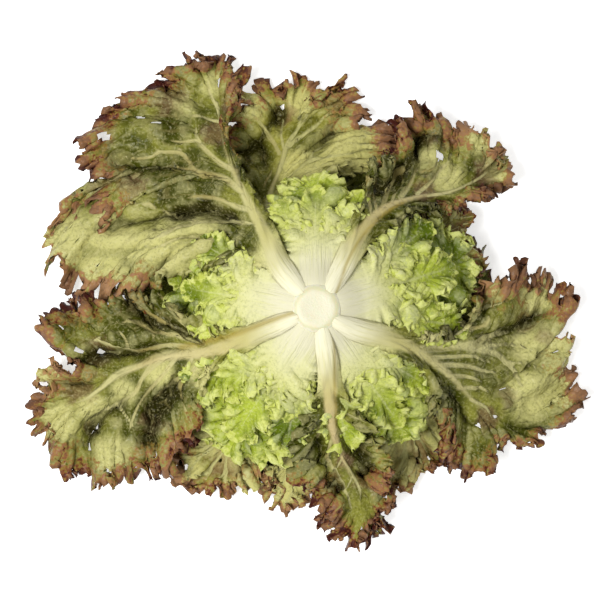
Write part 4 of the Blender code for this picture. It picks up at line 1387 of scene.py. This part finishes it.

# %% [markdown]
# ## Colours of a leaf
# A leaf isn't one green. It is lime and cream near the stem and green in drifts further out, with pale
# veins. Shade is painted in where it sinks and highlights are painted on its crests. One picture
# wrapped round it would show its grid, so the colour is built up in coats, each laid where a paint on
# the mesh or a noise says.

# %% Coats of colour
Skin = namedtuple("Skin", "gloom dark green lime cream vein rib mauve olive brown purple tan "
                          "lime_ends red_from rib_from net glow")
Coat = namedtuple("Coat", "kept mottled low high share over")
COATS = [
    # painted light: pale patches turn lime
    Coat("pale", 0.2, 0.3, 0.9, 0.85, "lime"),
    # painted shade: patches shaded by a neighbour turn dark
    Coat("dim", 0.3, 0.3, 0.75, 0.9, "dark"),
    Coat("brown", 1.2, 0.95, 1.4, 0.7, "mauve"),
    # painted shade in the sunk pockets between the veins
    Coat("pocket", 0.0, 0.2, 0.9, 0.4, "dark"),
    # painted shade where the sheet lies below its close surroundings
    Coat("crest", 0.0, 0.5, 0.1, 0.5, "dark"),
    # painted highlight: crests take the pale vein colour
    Coat("crest", 0.0, 0.6, 1.0, 0.3, "vein"),
    # painted shade in the wider hollows
    Coat("hollow", 0.0, 0.15, 0.8, 0.5, "dark"),
    # painted shade along the creases and in the hollows
    Coat("shade", 0.0, 0.3, 1.0, 0.8, "gloom"),
    # painted light: pale patches turn lime once more, over the shade
    Coat("pale", 0.0, 0.25, 0.9, 0.4, "lime"),
]
DRIFT_SCALE, MOTTLE_SCALE, GRAIN_SCALE = 32.0, 150.0, 650.0
BLUSH_PAINT, RIB_STREAK_AND_SHADOW_PAINT = "c8a280", "a08c3c"
STREAKS_ACROSS, STREAKS_OUTWARDS = 0.9, 9.0


def add_streaks(tree):
    """Fine lines along the leaf: noise that is stretched from the stem outwards."""
    place = tree.nodes.new("ShaderNodeCombineXYZ")
    tree.links.new(add_share(tree, read(tree, "across"), STREAKS_ACROSS), place.inputs["X"])
    tree.links.new(add_share(tree, read(tree, "reach"), STREAKS_OUTWARDS), place.inputs["Y"])
    node = tree.nodes.new("ShaderNodeTexNoise")
    node.inputs["Scale"].default_value = 1.0
    tree.links.new(place.outputs["Vector"], node.inputs["Vector"])
    return node.outputs["Fac"]


def leaf_veins(tree, skin):
    """How much of a vein is at each place, the raised ones and the net between them."""
    threads = add_share(tree, add_step(tree, read(tree, "net_gap"), 1.3, 0.4), skin.net)
    raised = add_share(tree, add_step(tree, read(tree, "vein_away"), 1.5, 0.6), 0.9)
    return add_math(tree, "MAXIMUM", raised, threads)


def leaf_colour(tree, skin, veins, drift, mottle):
    """The coats of colour, from the ground up."""
    paints = skin._asdict()
    reach = add_math(tree, "ADD", read(tree, "reach"), add_share(tree, drift, 0.12))
    colour = add_mix(tree, add_step(tree, drift, 0.34, 0.6), paint(skin.dark), paint(skin.green))
    colour = add_mix(tree, add_step(tree, reach, skin.lime_ends, 0.30), colour, paint(skin.lime))
    for coat in COATS:
        value = read(tree, coat.kept)
        if coat.mottled:
            value = add_math(tree, "ADD", value, add_share(tree, mottle, coat.mottled))
        colour = add_coat(tree, colour, value, coat.low, coat.high, coat.share, paint(paints[coat.over]))
    grain = add_noise(tree, GRAIN_SCALE, 4.0)
    colour = add_coat(tree, colour, grain, 0.5, 0.68, 0.3, paint(skin.vein))
    colour = add_coat(tree, colour, grain, 0.5, 0.34, 0.3, paint(skin.dark))
    # painted shade: veins in patches shaded by a neighbour turn olive
    vein = add_mix(tree, add_share(tree, read(tree, "dim"), 0.8), paint(skin.vein), paint(skin.olive))
    colour = add_mix(tree, veins, colour, vein)
    rib = add_mix(tree, add_step(tree, reach, 0.35, 0.6), paint(skin.rib), vein)
    rib = add_mix(tree, read(tree, "blush"), rib, paint(BLUSH_PAINT))
    colour = add_mix(tree, add_step(tree, read(tree, "rib"), skin.rib_from, 0.8), colour, rib)
    colour = add_mix(tree, add_step(tree, reach, 0.34, 0.16), colour, paint(skin.cream))
    # a thin line beside some ribs, partly streak and partly the rib's painted shadow
    return add_mix(tree, add_share(tree, read(tree, "streak"), 0.75), colour, paint(RIB_STREAK_AND_SHADOW_PAINT))


print("coats:", ", ".join(coat.kept + " " + coat.over for coat in COATS))

# %% [markdown]
# ## Colours of the margin
# Towards the margin a red lettuce turns olive, then red-brown, then nearly purple. A plain gradient
# would draw a ribbon along the edge. Three sizes of noise push it to and fro, and pale lobes stay green
# for longer. The purple is painted further in where the frills sink, as painted shade, and crests and
# pale lobes near the margin get a painted tan highlight.

# %% Colours of the margin
EDGE_MOTTLE, EDGE_DRIFT, EDGE_SPECKLE = 1.5, 1.1, 1.3
SPECKLE_SCALE = 480.0
PALE_STAYS_GREEN, DIM_STAYS_GREEN = 0.45, 0.6
HOLLOW_PAINTED_SHADE = 0.45


def add_swing(tree, value, share):
    """A noise about its middle, made smaller or larger."""
    return add_share(tree, add_math(tree, "SUBTRACT", value, 0.5), share)


def edge_colour(tree, skin, colour, drift, mottle):
    """Olive, then red-brown, then near purple towards the margin, in blotches, with painted shade and
    painted highlights.
    """
    loose = add_swing(tree, mottle, EDGE_MOTTLE)
    loose = add_math(tree, "ADD", loose, add_swing(tree, drift, EDGE_DRIFT))
    speckle = add_swing(tree, add_noise(tree, SPECKLE_SCALE, 2.0), EDGE_SPECKLE)
    loose = add_math(tree, "ADD", loose, speckle)
    loose = add_math(tree, "MULTIPLY", loose, add_step(tree, read(tree, "edge"), 0.0, 0.2))
    edge = add_math(tree, "ADD", read(tree, "edge"), loose)
    # pale patches, painted light, and dim patches, painted shade, hold the red back
    pale = add_share(tree, add_step(tree, read(tree, "pale"), 0.5, 1.0), PALE_STAYS_GREEN)
    edge = add_math(tree, "SUBTRACT", edge, pale)
    edge = add_math(tree, "SUBTRACT", edge, add_share(tree, read(tree, "dim"), DIM_STAYS_GREEN))
    # painted shade: the hollows of the frills take the purple sooner
    deep = add_math(tree, "ADD", edge, add_share(tree, read(tree, "hollow"), HOLLOW_PAINTED_SHADE))
    start = skin.red_from
    colour = add_mix(tree, add_step(tree, edge, start - 0.3, start + 0.1), colour, paint(skin.olive))
    colour = add_mix(tree, add_step(tree, edge, start - 0.05, start + 0.2), colour, paint(skin.brown))
    colour = add_mix(tree, add_step(tree, deep, start + 0.12, start + 0.42), colour, paint(skin.purple))
    # painted highlight: crests and pale patches near the margin turn tan
    bright = add_share(tree, add_step(tree, read(tree, "crest"), 0.6, 1.0), 0.3)
    bright = add_math(tree, "MAXIMUM", bright, add_share(tree, read(tree, "pale"), 0.75))
    bright = add_math(tree, "MULTIPLY", bright, add_step(tree, edge, start - 0.2, start + 0.3))
    return add_mix(tree, bright, colour, paint(skin.tan))


print("speckles:", round(1000 / SPECKLE_SCALE, 1), "mm across")

# %% [markdown]
# ## Leaf skin
# One recipe makes the skin of every leaf. A lettuce leaf is moist but not wet, so it shines softly
# and broadly. It is thin too, so light comes through it. Subsurface scattering is meant for thick
# things, and a Translucent shader mixed in is the usual way for a leaf.

# %% Leaf skin
LEAF_ROUGHNESS = 0.27
LEAF_SPECULAR = 0.11
LEAF_BUMP = (0.6, 0.0013)
BLISTER_SCALE, BUBBLE_SCALE = 420.0, 230.0
NEAR_STEM = (0.42, 0.2)


def leaf_grain(tree, veins, streaks, near_stem):
    """The height of the finest relief: blisters further out, fine lines near the stem, and veins."""
    blisters = add_noise(tree, BLISTER_SCALE, 4.0)
    bubbles = add_step(tree, add_noise(tree, BUBBLE_SCALE, 1.0), 0.4, 0.6)
    blisters = add_math(tree, "ADD", blisters, bubbles)
    further_out = add_share(tree, add_step(tree, read(tree, "reach"), 0.2, 0.4), 0.5)
    blisters = add_math(tree, "MULTIPLY", blisters, further_out)
    blisters = add_math(tree, "ADD", blisters, add_math(tree, "MULTIPLY", streaks, near_stem))
    return add_math(tree, "ADD", blisters, veins)


def let_light_through(tree, shader, colour, share):
    """Mixes a Translucent shader in."""
    through = tree.nodes.new("ShaderNodeBsdfTranslucent")
    tree.links.new(colour, through.inputs["Color"])
    both = tree.nodes.new("ShaderNodeMixShader")
    both.inputs["Fac"].default_value = share
    tree.links.new(shader.outputs["BSDF"], both.inputs[1])
    tree.links.new(through.outputs["BSDF"], both.inputs[2])
    tree.links.new(both.outputs["Shader"], tree.nodes["Material Output"].inputs["Surface"])


def leaf_skin(name, skin):
    """The whole skin of a leaf."""
    made, tree, shader = start_skin(name)
    drift, mottle = add_noise(tree, DRIFT_SCALE), add_noise(tree, MOTTLE_SCALE)
    veins = leaf_veins(tree, skin)
    streaks, near_stem = add_streaks(tree), add_step(tree, read(tree, "reach"), *NEAR_STEM)
    colour = leaf_colour(tree, skin, veins, drift, mottle)
    lines = add_math(tree, "MULTIPLY", add_step(tree, streaks, 0.48, 0.7), near_stem)
    colour = add_mix(tree, add_share(tree, lines, 0.35), colour, paint(skin.lime))
    colour = edge_colour(tree, skin, colour, drift, mottle)
    tree.links.new(colour, shader.inputs["Base Color"])
    shader.inputs["Roughness"].default_value = LEAF_ROUGHNESS
    shader.inputs["Specular IOR Level"].default_value = LEAF_SPECULAR
    add_bump(tree, shader, leaf_grain(tree, veins, streaks, near_stem), *LEAF_BUMP)
    let_light_through(tree, shader, add_mix(tree, 0.3, colour, paint(skin.lime)), skin.glow)
    return made


print("leaf roughness:", LEAF_ROUGHNESS)

# %% [markdown]
# ## A skin for each ring
# The outer leaves are olive with a red margin, the inner ones lime to the edge, and those in the
# shade darker. The recipe is the same, so only its paints and a few limits are named for each.

# %% Skins
SKINS = {
    "outer": Skin(
        gloom="1e1606", dark="3e4206", green="868636", lime="c6c27c", cream="e8e4c6", vein="c4be84",
        rib="b8b272", mauve="6a4c3a", olive="8c7a38", brown="7c4a2a", purple="46201a", tan="c49a6c",
        lime_ends=0.36, red_from=0.62, rib_from=0.25, net=0.25, glow=0.12),
    "inner": Skin(
        gloom="2c4204", dark="5c7004", green="b6c440", lime="dcdc92", cream="e8e4c8", vein="e4e4b2",
        rib="dedeac", mauve="b4b658", olive="d0d66c", brown="dade86", purple="c6ce5c", tan="e6e8aa",
        lime_ends=0.46, red_from=0.75, rib_from=0.8, net=0.0, glow=0.28),
    "second": Skin(
        gloom="221a06", dark="50520a", green="a09c42", lime="ccc67a", cream="e8e4c6", vein="c0bc7c",
        rib="c4c284", mauve="7c5a42", olive="a08644", brown="824c2c", purple="4c221a", tan="c69e70",
        lime_ends=0.52, red_from=0.68, rib_from=0.3, net=0.25, glow=0.16),
    # painted shade: the deep leaves lie in shade under the others, so their skin is a darker copy
    "deep": Skin(
        gloom="140e02", dark="2a2a04", green="5c6214", lime="868c2c", cream="d6daa0", vein="9ea252",
        rib="a8ac68", mauve="4a3a28", olive="5c5424", brown="542e20", purple="361a18", tan="7a6a40",
        lime_ends=0.40, red_from=0.8, rib_from=0.3, net=0.4, glow=0.10),
    "heart": Skin(
        gloom="70782c", dark="a0aa44", green="cbd06c", lime="dadc88", cream="f2eed0", vein="e6e8b8",
        rib="ecebc8", mauve="c4c070", olive="c8c870", brown="bcb864", purple="b0a858", tan="d8d890",
        lime_ends=0.7, red_from=1.3, rib_from=0.4, net=0.1, glow=0.3),
}
LEAF_SKINS = {ring: leaf_skin(ring + "_leaf_skin", skin) for ring, skin in SKINS.items()}
LEAF_SKINS["ruffle"] = LEAF_SKINS["inner"]
print("skins:", ", ".join(LEAF_SKINS))

# %% [markdown]
# ## Growing the leaves
# The same steps for each leaf: lay the plan on its arch, crease it, cut the teeth, frill the margin,
# pucker it, raise the veins, note the heights, draw the foot to the stem, and only then make the
# mesh. A leaf that is seen well gets a fine grid, and one in the shade a coarse one.

# %% Grow a leaf
Fineness = namedtuple("Fineness", "rows bands kept_share")
FINENESS = {
    "outer": Fineness(520, 40, 0.48),
    "inner": Fineness(200, 18, 0.6),
    "ruffle": Fineness(130, 9, 0.8),
    "second": Fineness(340, 28, 0.52),
    "deep": Fineness(80, 9, 1.0),
    "heart": Fineness(50, 8, 1.0),
}


def grow(leaf, name):
    """A finished leaf."""
    rng = np.random.default_rng(sum(ord(letter) for letter in leaf.name))
    fineness = FINENESS[leaf.ring]
    blade = Blade(leaf, fineness.rows, fineness.bands)
    add_creases(blade)
    cut_teeth(blade)
    add_frills(blade, FRILLS[leaf.ring])
    add_crinkles(blade)
    add_relief(blade, rng)
    note_heights(blade)
    join_stem(blade)
    note_paints(blade)
    sheet = lay_out(blade, name)
    tear_holes(blade, sheet)
    thicken(sheet, fineness.kept_share)
    sheet.data.materials.append(LEAF_SKINS[leaf.ring])
    return sheet


def join(pieces, name):
    """One piece from several."""
    deselect_all()
    for piece in pieces:
        piece.select_set(True)
    bpy.context.view_layer.objects.active = pieces[0]
    bpy.ops.object.join()
    pieces[0].name = name
    return pieces[0]


print("points in an outer leaf's grid:", (FINENESS["outer"].rows + 1) * (2 * FINENESS["outer"].bands + 1))

# %% [markdown]
# ## All the leaves
# An inner leaf is so frilly that its back is covered in small folds. More waves in one sheet would
# only cut through each other, so five small leaves are grown over it and joined to it as one piece.

# %% Grow the leaves
Ruffle = namedtuple("Ruffle", "turn reach spread waves")
RUFFLES = [Ruffle(-0.50, 0.92, 0.33, 6), Ruffle(0.48, 0.86, 0.33, 6), Ruffle(0.04, 0.90, 0.34, 6),
           Ruffle(-0.30, 0.74, 0.40, 6), Ruffle(0.34, 0.68, 0.40, 6)]
RUFFLE_SWEEP = 6
RUFFLE_PHASE = 2


def ruffles(leaf):
    """Small frilled folds on the back of an inner leaf."""
    _, azimuth = leaf.rib[0]
    reach = leaf.rib[-1][0]
    half = leaf.left[0][1] - azimuth
    made = []
    for number, ruffle in enumerate(RUFFLES):
        name = f"{leaf.name}_ruffle_{number + 1}"
        row = (azimuth + ruffle.turn * half, RUFFLE_SWEEP * ruffle.turn, ruffle.reach * reach)
        waves = (ruffle.waves, leaf.phase + RUFFLE_PHASE * number)
        made.append(grow(ruled_leaf(name, "ruffle", *row, ruffle.spread * half, *waves), name))
    return made


for leaf in LEAVES:
    sheet = grow(leaf, "fine_" + leaf.name)
    if leaf.ring == "inner":
        sheet = join([sheet] + ruffles(leaf), sheet.name)
    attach(sheet, "root")
    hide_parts(leaf.name)
    print(sheet.name, len(sheet.data.polygons), "faces")

# %% [markdown]
# ## The heart
# The youngest leaves sit round the end of the stem. One leaf could be copied round it, but copies
# are easy to spot, so the same few numbers grow seven leaves that differ in length and waves. They
# are turned by the same angle each time and joined in one piece.

# %% Grow the heart
HEART_LEAFLETS = 7
HEART_REACH = 44.0
HEART_LONGER, HEART_LENGTHS = 3.0, 3
HEART_SPREAD = 27.0
HEART_SWEEP = 4
HEART_WAVES = 4
HEART_PHASE = 1.7

leaflets = []
for number in range(HEART_LEAFLETS):
    turn = 360 / HEART_LEAFLETS * number
    reach = HEART_REACH + HEART_LONGER * (number % HEART_LENGTHS)
    row = (turn, HEART_SWEEP, reach, HEART_SPREAD, HEART_WAVES, HEART_PHASE * number)
    leaf = ruled_leaf(f"heart_leaf_{number + 1}", "heart", *row)
    leaflets.append(grow(leaf, leaf.name))
heart = join(leaflets, "fine_heart")
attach(heart, "root")
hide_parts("heart")
print("heart:", len(heart.data.polygons), "faces")

# %% [markdown]
# ## The cut stem
# A stem is cut straight across, so its face is a flat disc, a little sunk where it dries, with a
# rounded rim. A cylinder with a bevel would be too even. It starts as a filled circle at its lower
# end, which is extruded and resized upwards ring by ring, as a potter raises a pot.

# %% Stem
Step = namedtuple("Step", "height radius")
STEM_STEPS = [Step(80, 10.0), Step(92, 11.4), Step(98, 12.4), Step(101, 12.8), Step(102.6, 12.7),
              Step(103.7, 12.2), Step(104.4, 11.3), Step(104.8, 10.3), Step(105, 9.0), Step(104.95, 7.5),
              Step(104.9, 6.0), Step(104.8, 4.0), Step(104.8, 1.5)]
STEM_FOOT = Step(62, 6.0)
STEM_SIDES = 96

deselect_all()
bpy.ops.mesh.primitive_circle_add(vertices=STEM_SIDES, radius=STEM_FOOT.radius * MM, fill_type="NGON",
                                  location=(0, 0, STEM_FOOT.height * MM))
stem = bpy.context.object
stem.name = "fine_stem"
bpy.ops.object.mode_set(mode="EDIT")
bpy.ops.mesh.select_all(action="SELECT")
bpy.ops.mesh.flip_normals()
below = STEM_FOOT
for step in STEM_STEPS:
    rise = (0, 0, (step.height - below.height) * MM)
    bpy.ops.mesh.extrude_region_move(TRANSFORM_OT_translate={"value": rise})
    size = step.radius / below.radius
    bpy.ops.transform.resize(value=(size, size, 1), center_override=(0, 0, step.height * MM))
    below = step
bpy.ops.mesh.select_all(action="SELECT")
bpy.ops.mesh.normals_make_consistent(inside=False)
bpy.ops.object.mode_set(mode="OBJECT")
bpy.ops.object.transform_apply(location=True, rotation=True, scale=True)
bpy.ops.object.shade_smooth()
print("stem:", [round(side * 1000, 1) for side in stem.dimensions], "mm")

# %% [markdown]
# ## Stem skin
# The cut face is pale and moist, with a slightly browner ring where the bark-like skin begins. Rings
# could be modelled, but they are only a change of colour, so the distance from the middle picks the
# colour, pushed about by a noise so that they aren't drawn with compasses.

# %% Stem skin
PITH_ENDS, SKIN_BEGINS, SKIN_ENDS = 0.0085, 0.0105, 0.0125
RING_SWING = 0.004

cut_skin, tree, shader = start_skin("cut_stem_skin")
split = tree.nodes.new("ShaderNodeSeparateXYZ")
tree.links.new(tree.nodes["places"].outputs["Object"], split.inputs["Vector"])
flat = tree.nodes.new("ShaderNodeCombineXYZ")
tree.links.new(split.outputs["X"], flat.inputs["X"])
tree.links.new(split.outputs["Y"], flat.inputs["Y"])
far = tree.nodes.new("ShaderNodeVectorMath")
far.operation = "LENGTH"
tree.links.new(flat.outputs["Vector"], far.inputs[0])
radius = add_math(tree, "ADD", far.outputs["Value"], add_swing(tree, add_noise(tree, 260.0), RING_SWING))
pith = add_mix(tree, add_step(tree, radius, PITH_ENDS, SKIN_BEGINS), paint("ccc8ac"), paint("c6c29c"))
pith = add_mix(tree, add_step(tree, radius, SKIN_BEGINS, SKIN_ENDS), pith, paint("d2ceb6"))
pith = add_mix(tree, add_step(tree, add_noise(tree, 900.0, 4.0), 0.55, 0.75), pith, paint("c6c29a"))
tree.links.new(pith, shader.inputs["Base Color"])
shader.inputs["Roughness"].default_value = 0.4
shader.inputs["Subsurface Weight"].default_value = 0.15
shader.inputs["Subsurface Scale"].default_value = 0.004
add_bump(tree, shader, add_noise(tree, 1100.0, 3.0), 0.35, 0.0004)
stem.data.materials.append(cut_skin)
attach(stem, "root")
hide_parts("stem")
print("stem skin:", len(tree.nodes), "nodes")
